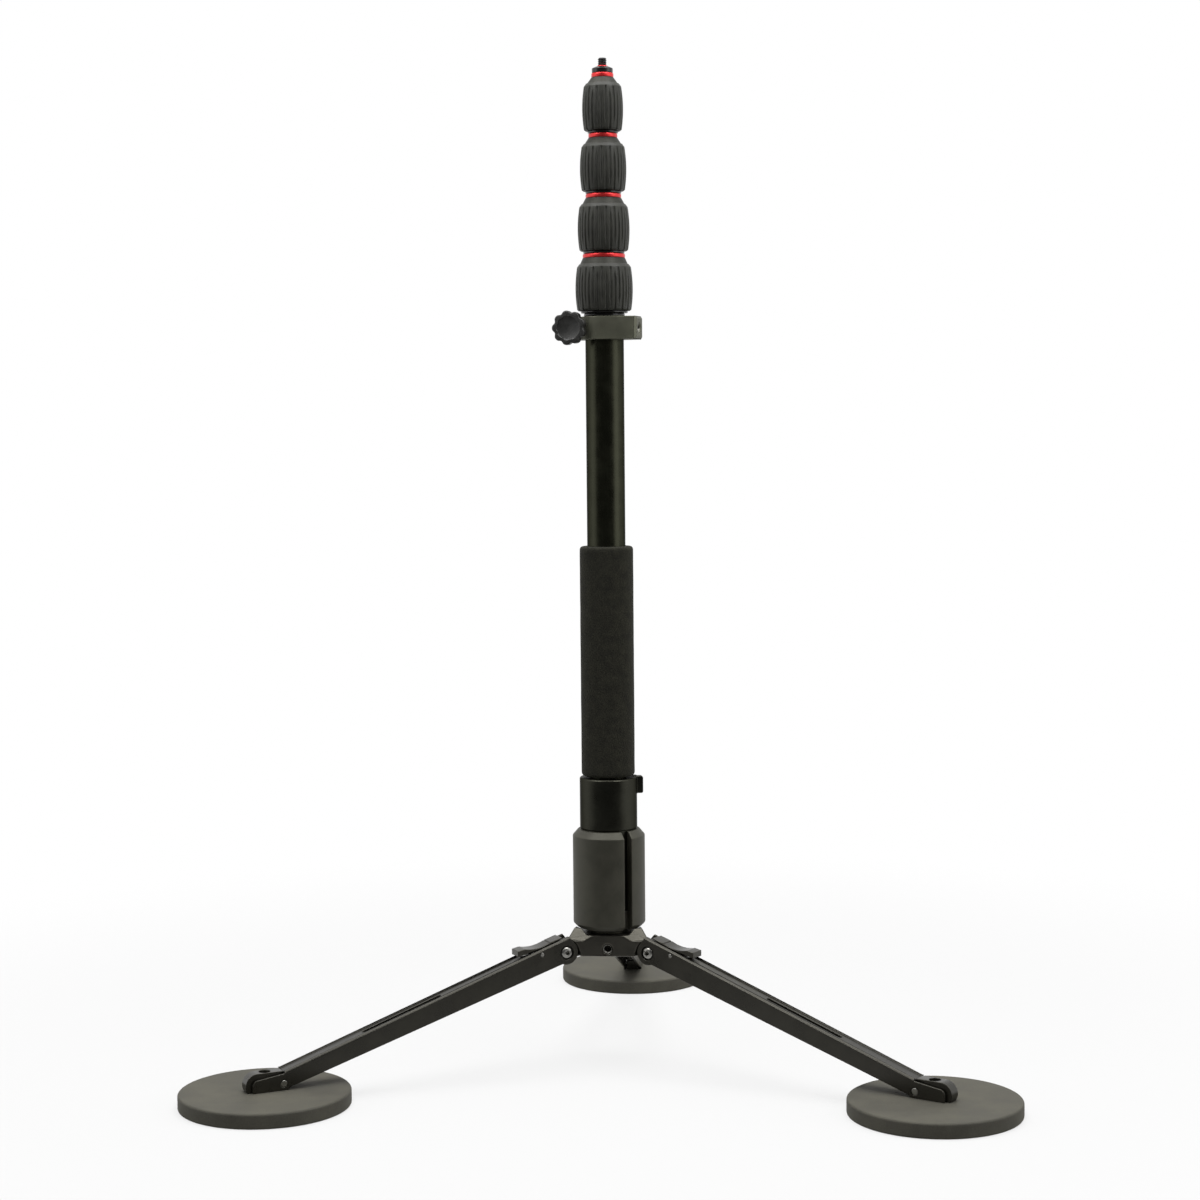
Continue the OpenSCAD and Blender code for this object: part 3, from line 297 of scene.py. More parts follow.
@dataclass(frozen=True)
class RoundPlace:
    """Where a round node of the model stands, in millimetres."""

    low: float
    high: float
    radius: float
    bore: float

    @classmethod
    def of(cls, node: str) -> "RoundPlace":
        """Reads the place of a node that is round about an upright axis.

        Args:
            node: the node's name.

        Returns:
            Its lower and upper ends and its largest and smallest radius.
        """
        low, high = (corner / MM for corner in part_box(node))
        x, y = (low.x + high.x) / 2, (low.y + high.y) / 2
        radii = [math.hypot(v.co.x / MM - x, v.co.y / MM - y) for v in frame["nodes"][node].data.vertices]
        return cls(low.z, high.z, max(radii), min(radii))

    def sleeve(self, bore: float, rounding: float, steps: int) -> Profile:
        """Returns the outline of a sleeve in this place, with round outer edges."""
        edges = [Corner(self.radius, z, rounding) for z in (self.low, self.high)]
        return rounded([Corner(bore, self.low), *edges, Corner(bore, self.high)], steps)


@dataclass
class Shape:
    """A mesh in the making, in millimetres."""

    points: list[Vector]
    faces: list[tuple[int, ...]]

    def moved(self, matrix: Matrix) -> "Shape":
        """Returns a copy that is placed by a matrix in millimetres."""
        return Shape([matrix @ point for point in self.points], list(self.faces))

    def joined(self, other: "Shape") -> "Shape":
        """Returns this shape and another as one."""
        shifted = [tuple(index + len(self.points) for index in face) for face in other.faces]
        return Shape(self.points + other.points, self.faces + shifted)

    def mesh(self, name: str, sharp: float = 32.0) -> bpy.types.Mesh:
        """Makes the mesh, with smooth shading up to an angle.

        Args:
            name: the mesh's name.
            sharp: the angle in degrees above which an edge stays sharp.

        Returns:
            The mesh in metres, with its faces pointing outwards.
        """
        made = bpy.data.meshes.new(name)
        made.from_pydata([point * MM for point in self.points], [], self.faces)
        work = bmesh.new()
        work.from_mesh(made)
        bmesh.ops.recalc_face_normals(work, faces=work.faces)
        work.to_mesh(made)
        work.free()
        made.shade_smooth()
        made.set_sharp_from_angle(angle=math.radians(sharp))
        return made


@dataclass(frozen=True)
class Corner:
    """A corner of an outline, with the radius of its rounding."""

    r: float
    z: float
    rounding: float = 0.0


def rounded(corners: Sequence[Corner], steps: int = 4) -> Profile:
    """Rounds the corners of a closed outline.

    Args:
        corners: the outline's corners in order.
        steps: how many steps each rounding takes.

    Returns:
        The outline's points.
    """
    points: Profile = []
    for index, corner in enumerate(corners):
        here = Vector((corner.r, corner.z))
        if corner.rounding == 0:
            points.append((here.x, here.y))
            continue
        ends = []
        for other in (corners[index - 1], corners[(index + 1) % len(corners)]):
            way = Vector((other.r, other.z)) - here
            ends.append(here + way.normalized() * min(corner.rounding, way.length * EDGE_SHARE))
        for step in range(steps + 1):
            share = step / steps
            point = ends[0].lerp(here, share).lerp(here.lerp(ends[1], share), share)
            points.append((point.x, point.y))
    return points


def turns(count: int) -> list[float]:
    """Returns the evenly spread turns of a ring with so many points."""
    return [FULL_TURN * step / count for step in range(count)]


def ring(radii: Sequence[float], z: float) -> list[Vector]:
    """Returns a ring of points at a height, with a radius for each of its turns."""
    return [Vector((r * math.cos(a), r * math.sin(a), z)) for r, a in zip(radii, turns(len(radii)))]


def loft(rings: Sequence[Sequence[Vector]], looped: bool = False) -> Shape:
    """Joins rings of equal length with faces.

    Args:
        rings: the rings in order.
        looped: whether the last ring joins the first; otherwise both ends are closed flat.

    Returns:
        The closed shape.
    """
    count, levels = len(rings[0]), len(rings)
    faces: list[tuple[int, ...]] = []
    for level in range(levels if looped else levels - 1):
        a, b = level * count, (level + 1) % levels * count
        faces += [(a + i, a + (i + 1) % count, b + (i + 1) % count, b + i) for i in range(count)]
    if not looped:
        faces += [tuple(reversed(range(count))), tuple(range((levels - 1) * count, levels * count))]
    return Shape([point for level in rings for point in level], faces)


def lathe(profile: Profile, segments: int, looped: bool = True) -> Shape:
    """Returns an outline turned round the upright axis; if looped, it is closed, as round a bore."""
    return loft([ring([r] * segments, z) for r, z in profile], looped)


def aimed_at(entry: Mapping[str, Any], side: int = 1) -> Matrix:
    """Returns the matrix that puts the upright axis on a joint's or mount's axis, or on its reverse."""
    turn = (Vector(entry["axis"]) * side).to_track_quat("Z", "Y").to_matrix().to_4x4()
    return Matrix.Translation(Vector(entry["pos_m"]) / MM) @ turn


def linked(mesh: bpy.types.Mesh) -> bpy.types.Object:
    """Adds a mesh to the scene.

    Args:
        mesh: the mesh.

    Returns:
        The object that shows it, under the mesh's name.
    """
    made = bpy.data.objects.new(mesh.name, mesh)
    bpy.context.scene.collection.objects.link(made)
    return made


def baked(piece: bpy.types.Object) -> bpy.types.Object:
    """Turns a piece's modifiers into a plain mesh.

    Args:
        piece: the object with its modifiers.

    Returns:
        The same object with the finished mesh and no modifiers.
    """
    evaluated = piece.evaluated_get(bpy.context.evaluated_depsgraph_get())
    mesh = bpy.data.meshes.new_from_object(evaluated)
    piece.modifiers.clear()
    piece.data = mesh
    mesh.name = piece.name
    return piece


def dressed(piece: bpy.types.Object, finish: Finish) -> bpy.types.Object:
    """Gives a piece its one material.

    Args:
        piece: the piece.
        finish: the finish that makes the material.

    Returns:
        The piece.
    """
    piece.data.materials.clear()
    piece.data.materials.append(finish.material())
    return piece


def seated(piece: bpy.types.Object, slot: str, body: str, *nodes: str) -> bpy.types.Object:
    """Puts a finished piece on its body and hides the nodes that it replaces.

    Args:
        piece: the finished piece.
        slot: the record's material slot; not used.
        body: the body that it rides on.
        nodes: the model's nodes that it replaces.

    Returns:
        The piece.
    """
    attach(piece, body)
    if nodes:
        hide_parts(*nodes)
    log.info("%s: %d faces on %s", piece.name, len(piece.data.polygons), body)
    return piece


def standing_for(node: str, piece: bpy.types.Object, finish: Finish) -> bpy.types.Object:
    """Dresses a piece and seats it in one node's place, on that node's body."""
    return seated(dressed(piece, finish), NODE_SLOTS[node], NODE_BODIES[node], node)


def softened(node: str, name: str, finish: Finish, width: float, steps: int = 2) -> bpy.types.Object:
    """Copies a node's mesh, rounds its sharp edges and seats the copy in the node's place.

    Args:
        node: the model's node.
        name: the new piece's name.
        finish: the new piece's finish.
        width: the width of the rounding in millimetres.
        steps: how many steps the rounding takes.

    Returns:
        The new piece.
    """
    work = bmesh.new()
    work.from_mesh(frame["nodes"][node].data)
    bmesh.ops.remove_doubles(work, verts=work.verts, dist=WELD_GAP * MM)
    flat = math.radians(FLAT_ANGLE)
    bmesh.ops.dissolve_limit(work, angle_limit=flat, verts=work.verts, edges=work.edges)
    mesh = bpy.data.meshes.new(name)
    work.to_mesh(mesh)
    work.free()
    normals = mesh.attributes.get("custom_normal")
    if normals:
        mesh.attributes.remove(normals)
    mesh.shade_smooth()
    piece = linked(mesh)
    bevel = piece.modifiers.new("Rounded edges", "BEVEL")
    bevel.width = width * MM
    bevel.segments = steps
    bevel.limit_method = "ANGLE"
    bevel.angle_limit = math.radians(SHARP_ANGLE)
    bevel.use_clamp_overlap = False
    even = piece.modifiers.new("Even shading", "WEIGHTED_NORMAL")
    even.keep_sharp = False
    return standing_for(node, baked(piece), finish)


class NodeTool:
    """A Geometry Nodes tree with named inputs that gives plain meshes with one finish."""

    def __init__(self, name: str, kinds: Mapping[str, str]) -> None:
        """Opens the tree.

        Args:
            name: the tree's name.
            kinds: the kind of each named input; the first is the piece's own geometry.
        """
        self.tree = bpy.data.node_groups.new(name, "GeometryNodeTree")
        self.sockets = {}
        for label, kind in {**kinds, "Finish": "Material"}.items():
            made = self.tree.interface.new_socket(label, in_out="INPUT", socket_type=f"NodeSocket{kind}")
            self.sockets[label] = made
        self.tree.interface.new_socket("Piece", in_out="OUTPUT", socket_type="NodeSocketGeometry")
        self.wiring = Wiring(self.tree)
        self.given = self.wiring.node("NodeGroupInput").outputs

    def attribute(self, name: str, data_type: str) -> Socket:
        """Returns the output that reads a named attribute."""
        kind = "GeometryNodeInputNamedAttribute"
        return self.wiring.out(kind, {"Name": name}, data_type=data_type)

    def close(self, geometry: Socket) -> None:
        """Ends the tree.

        Args:
            geometry: the output that holds the tree's result.
        """
        real = self.wiring.out("GeometryNodeRealizeInstances", {"Geometry": geometry})
        dress = {"Geometry": real, "Material": self.given["Finish"]}
        finished = self.wiring.out("GeometryNodeSetMaterial", dress)
        self.wiring.node("NodeGroupOutput", {0: finished})

    def run(self, piece: bpy.types.Object, finish: Finish, values: Mapping[str, Any]) -> bpy.types.Object:
        """Runs the tree on a piece.

        Args:
            piece: the object that the tree starts from.
            finish: the finish of the result.
            values: a value for each named input that isn't geometry.

        Returns:
            The same object with the result as a plain mesh.
        """
        modifier = piece.modifiers.new(self.tree.name, "NODES")
        modifier.node_group = self.tree
        for name, value in {**values, "Finish": finish.material()}.items():
            modifier[self.sockets[name].identifier] = value
        return baked(piece)


class Copies(NodeTool):
    """Puts one part at each point of a mesh, turned as the point says."""

    def __init__(self) -> None:
        """Builds the tree with its named inputs."""
        super().__init__("Copies of one part", {"Points": "Geometry", "Part": "Object"})
        wiring, given = self.wiring, self.given
        part = wiring.node("GeometryNodeObjectInfo", {"Object": given["Part"]}).outputs["Geometry"]
        turn = {"Euler": self.attribute(TURN_ATTRIBUTE, "FLOAT_VECTOR")}
        rotation = wiring.out("FunctionNodeEulerToRotation", turn)
        places = {"Points": given["Points"], "Instance": part, "Rotation": rotation}
        self.close(wiring.out("GeometryNodeInstanceOnPoints", places))

    def make(self, name: str, part: Shape, places: Iterable[Matrix], finish: Finish) -> bpy.types.Object:
        """Makes one piece of many copies.

        Args:
            name: the piece's name.
            part: the shape that repeats, in millimetres.
            places: a matrix for each copy, in millimetres.
            finish: the finish of all copies.

        Returns:
            The piece as a plain mesh.
        """
        matrices = list(places)
        points = bpy.data.meshes.new(name)
        points.from_pydata([matrix.translation * MM for matrix in matrices], [], [])
        euler = points.attributes.new(TURN_ATTRIBUTE, "FLOAT_VECTOR", "POINT")
        for item, matrix in zip(euler.data, matrices):
            item.vector = matrix.to_euler()
        pattern = linked(part.mesh(f"{name}_pattern"))
        piece = self.run(linked(points), finish, {"Part": pattern})
        bpy.data.objects.remove(pattern)
        return piece


class Ribs(NodeTool):
    """Presses two sets of pointed grooves into a turned grip.

    One set is open at the top and runs to points at the bottom; the other lies between and is open below.
    """

    # Height, as a share of the grip's, at which a groove's point starts and at which it has its full width
    POINT = (0.03, 0.34)
    # Share of a groove's half width that is flat at the bottom, and the least half width
    FLAT, LEAST = 0.15, 0.001

    def __init__(self) -> None:
        """Builds the tree with its named inputs."""
        super().__init__("Pointed grooves", {"Grip": "Geometry", "Pairs": "Int", "Depth": "Float",
                                             "Half width": "Float", "Foot": "Float", "Height": "Float"})
        wiring, given = self.wiring, self.given
        position = wiring.out("GeometryNodeInputPosition")
        place = wiring.node("ShaderNodeSeparateXYZ", {0: position}).outputs
        angle = wiring.math("ARCTAN2", place["Y"], place["X"])
        turn = wiring.math("DIVIDE", wiring.math("MULTIPLY", angle, given["Pairs"]), FULL_TURN)
        rise = wiring.math("DIVIDE", wiring.math("SUBTRACT", place["Z"], given["Foot"]), given["Height"])
        drop = wiring.math("SUBTRACT", 1.0, rise)
        from_top = self.groove(turn, wiring.spread(rise, *self.POINT, 0.0, 1.0))
        between = wiring.math("ADD", turn, 0.5)
        from_foot = self.groove(between, wiring.spread(drop, *self.POINT, 0.0, 1.0))
        depth = wiring.math("MULTIPLY", wiring.math("MAXIMUM", from_top, from_foot), given["Depth"])
        share = self.attribute(RIB_ATTRIBUTE, "FLOAT")
        inward = wiring.math("MULTIPLY", wiring.math("MULTIPLY", depth, share), -1.0)
        flat = wiring.out("ShaderNodeCombineXYZ", {"X": place["X"], "Y": place["Y"]})
        outward = wiring.out("ShaderNodeVectorMath", {0: flat}, operation="NORMALIZE")
        push = {0: outward, "Scale": inward}
        offset = wiring.out("ShaderNodeVectorMath", push, operation="SCALE")
        pressed = {"Geometry": given["Grip"], "Offset": offset}
        self.close(wiring.out("GeometryNodeSetPosition", pressed))

    def groove(self, turn: Socket, width: Socket) -> Socket:
        """Adds the depth of one set of grooves.

        Args:
            turn: the place round the grip, where each whole number is a groove.
            width: the groove's share of its full width at this height.

        Returns:
            The depth, 0 to 1.
        """
        away = self.wiring.math("PINGPONG", turn, 0.5)
        half = self.wiring.math("MULTIPLY", self.given["Half width"], width)
        reach = self.wiring.math("MAXIMUM", half, self.LEAST)
        near = self.wiring.spread(self.wiring.math("DIVIDE", away, reach), self.FLAT, 1.0, 1.0, 0.0)
        return self.wiring.math("MULTIPLY", near, self.wiring.math("SQRT", width))


@dataclass(frozen=True)
class Thread:
    """A 1/4 inch thread, cut by a rule: the radius follows the turn and the height."""

    pitch: float = 1.27
    depth: float = 0.5
    rows: int = 10
    segments: int = 48
    flank_slope: float = 2.4
    crest_flat: float = 0.1
    crest_gap: float = 0.02
    wall_gap: float = 0.005

    def rings(self, crest: float, low: float, high: float, lead: float) -> list[list[Vector]]:
        """Makes the rings of a threaded rod.

        Args:
            crest: the thread's outer radius.
            low: the rod's lower end.
            high: the rod's upper end.
            lead: the height of the rod's tapered tip.

        Returns:
            The rings from the lower end to the upper.
        """
        count = round((high - low) / self.pitch * self.rows)
        rings = []
        for row in range(count + 1):
            z = low + (high - low) * row / count
            tip = crest - max(0.0, z - high + lead)
            phases = [(z / self.pitch - turn / FULL_TURN) % 1.0 for turn in turns(self.segments)]
            flanks = [self.flank_slope * abs(phase - 0.5) - self.crest_flat for phase in phases]
            depths = [self.depth * min(1.0, max(0.0, flank)) for flank in flanks]
            rings.append(ring([min(tip, crest - depth) for depth in depths], z))
        return rings

    def line_holes(self, name: str, node: str, holes: Sequence[Mapping[str, Any]], copies: Copies) -> None:
        """Builds the threaded walls of a node's holes.

        Args:
            name: the name of the piece that the walls make.
            node: the model's node that has the holes.
            holes: the mounts of the holes, which are all of one size.
            copies: the tree that repeats the wall.
        """
        bore, half = holes[0]["dims"]["r_mm"], holes[0]["dims"]["length_mm"] / 2
        wall = [bore - self.wall_gap] * self.segments
        inner = self.rings(bore - self.crest_gap, -half, half, 0.0)
        liner = loft(inner + [ring(wall, half), ring(wall, -half)], looped=True)
        piece = copies.make(name, liner, [aimed_at(hole) for hole in holes], BARE_THREAD)
        seated(piece, NODE_SLOTS[node], NODE_BODIES[node])


@dataclass(frozen=True)
class Lamp:
    """A soft box that points at the mast, and that may show in reflections alone."""

    name: str
    place: tuple[float, float, float]
    aim: tuple[float, float, float]
    size: tuple[float, float]
    power: float
    mirrored_only: bool = False

    def build(self) -> None:
        """Adds the lamp to the scene."""
        data = bpy.data.lights.new(self.name, "AREA")
        data.shape = "RECTANGLE"
        data.size, data.size_y = (side * MM for side in self.size)
        data.energy = self.power
        lamp = bpy.data.objects.new(self.name, data)
        place = Vector(self.place)
        turn = (Vector(self.aim) - place).to_track_quat("-Z", "Y").to_matrix().to_4x4()
        lamp.matrix_world = Matrix.Translation(place * MM) @ turn
        lamp.visible_diffuse = not self.mirrored_only
        bpy.context.scene.collection.objects.link(lamp)


@dataclass(frozen=True)
class Studio:
    """Camera, soft boxes, white surroundings and floor."""

    lens: float = 73.36
    sensor: float = 36.0
    eye: tuple[float, float, float] = (134.7, -1778.4, 471.5)
    heading: float = -4.491
    pitch: float = 4.165
    roll: float = 0.499
    floor_side: float = 12000.0
    floor_drop: float = 0.1
    shadow_reach: tuple[float, float] = (330.0, 900.0)
    floor_white: float = 0.94
    shadow_share: float = 0.24
    floor_bounce: float = 0.18
    dim_side: float = 0.08
    dim_room: tuple[float, float] = (-0.85, 0.1)
    dim_floor: tuple[float, float] = (-600.0, 100.0)
    ambient: float = 0.23
    front_fill: float = 0.5
    lamps: tuple[Lamp, ...] = (
        Lamp("left_box", (-1500, -500, 700), (0, 0, 380), (900, 1700), 4.0),
        Lamp("right_box", (1500, -500, 700), (0, 0, 380), (900, 1700), 6.5),
        Lamp("top_box", (0, -100, 2000), (0, 0, 0), (1800, 1500), 32.0),
        Lamp("high_left_box", (-1360, -1210, 2000), (0, 0, 100), (1000, 1000), 26.0, mirrored_only=True),
        Lamp("high_right_box", (1360, -1210, 2000), (0, 0, 100), (1000, 1000), 26.0, mirrored_only=True),
    )

    def build(self) -> None:
        """Adds the camera, the lamps, the surroundings and the floor to the scene."""
        bpy.context.scene.view_settings.view_transform = "Standard"
        self.add_camera()
        for lamp in self.lamps:
            lamp.build()
        self.add_surroundings()
        self.add_floor()

    def add_camera(self) -> None:
        """Puts the camera where the photograph was taken."""
        heading, pitch, roll = (math.radians(angle) for angle in (self.heading, self.pitch, self.roll))
        aim = Matrix.Rotation(-heading, 4, "Z") @ Matrix.Rotation(math.pi / 2 - pitch, 4, "X")
        data = bpy.data.cameras.new("camera")
        data.lens, data.sensor_width, data.sensor_fit = self.lens, self.sensor, "HORIZONTAL"
        camera = bpy.data.objects.new("camera", data)
        camera.matrix_world = Matrix.Translation(Vector(self.eye) * MM) @ aim @ Matrix.Rotation(-roll, 4, "Z")
        bpy.context.scene.collection.objects.link(camera)
        bpy.context.scene.camera = camera

    def add_surroundings(self) -> None:
        """Makes a white room that is dim on the side where the photograph was taken."""
        world = bpy.data.worlds.new("white_room")
        world.use_nodes = True
        bpy.context.scene.world = world
        wiring = Wiring(world.node_tree)
        way = wiring.node("ShaderNodeTexCoord").outputs["Generated"]
        depth = wiring.node("ShaderNodeSeparateXYZ", {0: way}).outputs["Y"]
        light = wiring.spread(depth, *self.dim_room, self.dim_side, 1.0)
        seen, glossy = wiring.sight()
        mirrored = wiring.math("MULTIPLY", light, glossy)
        spilled = wiring.math("MULTIPLY", wiring.math("MAXIMUM", light, self.front_fill), self.ambient)
        unseen = wiring.math("SUBTRACT", 1.0, glossy)
        lit = wiring.math("MULTIPLY_ADD", spilled, unseen, mirrored)
        strength = wiring.math("MAXIMUM", seen, lit)
        wiring.feed(world.node_tree.nodes["Background"], {"Color": WHITE, "Strength": strength})

    def add_floor(self) -> None:
        """Lays a white floor that keeps the shadows near the mast and fades to plain white.

        The camera sees through most of it, so a leg that is folded below it still shows.
        """
        half = self.floor_side / 2
        sides = ((-half, -half), (half, -half), (half, half), (-half, half))
        corners = [Vector((x, y, -self.floor_drop)) for x, y in sides]
        floor = linked(Shape(corners, [(0, 1, 2, 3)]).mesh("floor"))
        material = bpy.data.materials.new("white_floor")
        material.use_nodes = True
        wiring = Wiring(material.node_tree)
        material.node_tree.nodes.clear()
        place = wiring.node("ShaderNodeTexCoord").outputs["Object"]
        away = wiring.node("ShaderNodeVectorMath", {0: place}, operation="LENGTH").outputs["Value"]
        near, far = (reach * MM for reach in self.shadow_reach)
        plain, glossy = wiring.sight()
        seen = wiring.math("MAXIMUM", plain, glossy)
        depth = wiring.node("ShaderNodeSeparateXYZ", {0: place}).outputs["Y"]
        front, back = (reach * MM for reach in self.dim_floor)
        bright = wiring.math("MAXIMUM", plain, wiring.spread(depth, front, back, self.dim_side, 1.0))
        share = wiring.math("MULTIPLY", seen, wiring.spread(away, near, far, 1 - self.shadow_share, 1.0))
        white = wiring.blend(seen, grey(self.floor_bounce), grey(self.floor_white))
        matt = wiring.out("ShaderNodeBsdfDiffuse", {"Color": white})
        glow = wiring.out("ShaderNodeEmission", {"Color": WHITE, "Strength": bright})
        clear = wiring.out("ShaderNodeBsdfTransparent")
        open_or_glow = wiring.out("ShaderNodeMixShader", {0: plain, 1: glow, 2: clear})
        mixed = wiring.out("ShaderNodeMixShader", {0: share, 1: matt, 2: open_or_glow})
        wiring.node("ShaderNodeOutputMaterial", {"Surface": mixed})
        floor.data.materials.append(material)


@dataclass(frozen=True)
class Mast:
    """Main tube, foam grip, collar, housing and hub, with the hinge screws and threaded holes."""

    tube_edge: float = 0.3
    collar_edge: float = 0.45
    housing_edge: float = 0.45
    hub_edge: float = 0.9
    hub_edge_steps: int = 3
    foam_rounding: float = 3.0
    foam_rounding_steps: int = 6
    foam_row: float = 2.4
    foam_segments: int = 112
    foam_swell: float = 0.12
    foam_patch: float = 11.0
    foam_still: float = 1.0
    foam_sharp: float = 60.0
    leg_width: float = 15.0
    screw_recess: float = 1.7
    screw_segments: int = 48
    head_radius: float = 4.3
    head_height: float = 1.35
    head_edge: float = 0.15
    head_dome: float = 0.75
    dome_steps: int = 8
    shank_radius: float = 2.45
    shank_start: float = 0.6
    socket_flats: float = 3.3
    socket_depth: float = 3.4
    socket_rim: float = 0.25
    socket_edge: float = 0.12
    socket_tip: float = 0.3
    socket_tip_share: float = 0.4
    thread: Thread = Thread()

    def build(self, copies: Copies) -> None:
        """Builds the mast's pieces.

        Args:
            copies: the tree that repeats the screws and threads.
        """
        self.foam_grip()
        softened("main_tube", "mast_tube", SATIN_TUBE, self.tube_edge)
        softened("base_collar", "mast_collar", SATIN_TURNED, self.collar_edge)
        softened("socket_housing", "housing_shell", BLASTED_BLACK, self.housing_edge)
        softened("hub", "hub_casting", SATIN_CASTING, self.hub_edge, self.hub_edge_steps)
        self.hinge_screws(copies)
        holes = [mount for name, mount in MOUNTS.items() if name.startswith("hub_socket")]
        self.thread.line_holes("hub_hole_threads", "hub", holes, copies)

    def foam_grip(self) -> None:
        """Builds the foam grip, with rounded ends and the slight waves of cut foam."""
        place, bore = RoundPlace.of("foam_grip"), RoundPlace.of("main_tube").radius + SEAT_GAP
        rows = round((place.high - place.low) / self.foam_row)
        outline = place.sleeve(bore, self.foam_rounding, self.foam_rounding_steps)
        split = next(i for i, (_, z) in enumerate(outline) if z > (place.low + place.high) / 2)
        low, high = outline[split - 1][1], outline[split][1]
        middle = [(place.radius, low + (high - low) * k / rows) for k in range(1, rows)]
        shape = lathe(outline[:split] + middle + outline[split:], self.foam_segments)
        for point in shape.points:
            reach = Vector((point.x, point.y))
            if reach.length > bore + self.foam_still:
                wave = noise.noise(point / self.foam_patch) * self.foam_swell - self.foam_swell
                point.x, point.y = reach * (1 + wave / reach.length)
        piece = linked(shape.mesh("mast_foam_grip", self.foam_sharp))
        standing_for("foam_grip", piece, GRIP_FOAM)

    def screw(self) -> Shape:
        """Makes a button-head screw with a hexagon socket.

        Returns:
            The screw along the upright axis, with its head on top and the hinge's middle at the origin.
        """
        base = self.leg_width / 2 - self.screw_recess
        top = base + self.head_height + self.head_dome
        foot = base + self.head_height / 2
        floor = top - self.socket_depth
        sixth = FULL_TURN / 6
        aside = [(a + sixth / 2) % sixth - sixth / 2 for a in turns(self.screw_segments)]
        socket = [self.socket_flats / 2 / math.cos(a) for a in aside]
        rim = [r + self.socket_rim for r in socket]
        stem = [(self.shank_radius, self.shank_start), (self.shank_radius, base),
                (self.head_radius - self.head_edge, base), (self.head_radius, base + self.head_edge)]
        rings = [ring([radius] * self.screw_segments, z) for radius, z in stem]
        for step in range(self.dome_steps + 1):
            lean = FULL_TURN / 4 * step / self.dome_steps
            radii = [r + (self.head_radius - r) * math.cos(lean) for r in rim]
            rings.append(ring(radii, foot + (top - foot) * math.sin(lean)))
        tip = [r * self.socket_tip_share for r in socket]
        rings += [ring(socket, top - self.socket_edge), ring(socket, floor)]
        return loft(rings + [ring(tip, floor - self.socket_tip)])

    def hinge_screws(self, copies: Copies) -> None:
        """Builds two button-head screws at each leg hinge.

        Args:
            copies: the tree that repeats them.
        """
        places = [aimed_at(JOINTS[f"leg_{leg}_fold"], side) for leg in LEGS for side in (-1, 1)]
        piece = copies.make("hinge_button_screws", self.screw(), places, BRIGHT_STEEL)
        standing_for("leg_pivot_screws", piece, BRIGHT_STEEL)


@dataclass(frozen=True)
class TwistLock:
    """One twist lock: ribbed rubber grip, sloped neck, red ring and flanged sleeve."""

    number: int
    neck_edge: float = 0.25
    sleeve_edge: float = 0.4
    barrel_height: float = 31.4
    bulge: float = 1.25
    shoulder_in: float = 1.6
    shoulder_steps: int = 8
    shoulder_share: float = 0.8
    lip: float = 0.4
    lip_rounding: float = 0.5
    foot_rounding: float = 0.9
    rows: int = 44
    pair_step: float = 6.4
    steps_per_groove: int = 12
    groove_depth: float = 0.75
    groove_half: float = 0.17
    groove_fade: float = 2.2
    grip_sharp: float = 50.0
    ring_rounding: float = 1.25
    ring_steps: int = 6
    ring_segments: int = 128

    def build(self, ribs: Ribs) -> None:
        """Builds the lock's pieces.

        Args:
            ribs: the tree that presses the grooves.
        """
        name = f"lock_{self.number}"
        self.grip(name, ribs)
        self.red_ring(name)
        softened(f"{name}_nut", f"{name}_sloped_neck", MATT_NECK, self.neck_edge)
        softened(f"{name}_sleeve", f"{name}_flanged_sleeve", GLOSS_BLACK, self.sleeve_edge)

    def grip(self, name: str, ribs: Ribs) -> None:
        """Builds the rubber grip with its interleaved grooves.

        Args:
            name: the lock's name.
            ribs: the tree that presses the grooves.
        """
        place = RoundPlace.of(f"{name}_grip")
        bore = RoundPlace.of(f"{name}_nut").radius + SEAT_GAP
        end, top = place.radius - self.bulge, place.low + self.barrel_height
        neck = end - self.shoulder_in
        profile = [(bore, place.low), (end - self.foot_rounding, place.low)]
        shares = [0.0] * len(profile)
        for row in range(self.rows + 1):
            across = 2 * row / self.rows - 1
            height = self.barrel_height * row / self.rows
            tuck = self.foot_rounding * max(0.0, 1 - height / self.foot_rounding) ** 2
            profile.append((place.radius - self.bulge * across * across - tuck, place.low + height))
            shares.append(min(1.0, (self.barrel_height - height) / self.groove_fade))
        for step in range(1, self.shoulder_steps):
            share = self.shoulder_share * step / self.shoulder_steps
            profile.append((end - self.shoulder_in * share, top + (place.high - top) * share))
        inner = neck - self.lip
        brim = [Corner(end, top), Corner(neck, place.high, self.lip_rounding), Corner(inner, place.high)]
        profile += rounded(brim)[1:]
        profile += [(inner, place.high - self.lip), (bore, top - self.shoulder_in / 2)]
        shares += [0.0] * (len(profile) - len(shares))
        pairs = round(FULL_TURN * place.radius / self.pair_step)
        segments = pairs * 2 * self.steps_per_groove
        mesh = lathe(profile, segments).mesh(f"{name}_ribbed_grip", self.grip_sharp)
        attribute = mesh.attributes.new(RIB_ATTRIBUTE, "FLOAT", "POINT")
        attribute.data.foreach_set("value", [share for share in shares for _ in range(segments)])
        piece = ribs.run(linked(mesh), GRIP_RUBBER, {
            "Pairs": pairs, "Depth": self.groove_depth * MM, "Half width": self.groove_half,
            "Foot": place.low * MM, "Height": self.barrel_height * MM,
        })
        standing_for(f"{name}_grip", piece, GRIP_RUBBER)

    def red_ring(self, name: str) -> None:
        """Builds the red ring with its round edges.

        Args:
            name: the lock's name.
        """
        place = RoundPlace.of(f"{name}_ring")
        shape = lathe(place.sleeve(place.bore, self.ring_rounding, self.ring_steps), self.ring_segments)
        piece = linked(shape.mesh(f"{name}_red_ring"))
        standing_for(f"{name}_ring", piece, RED_RING)


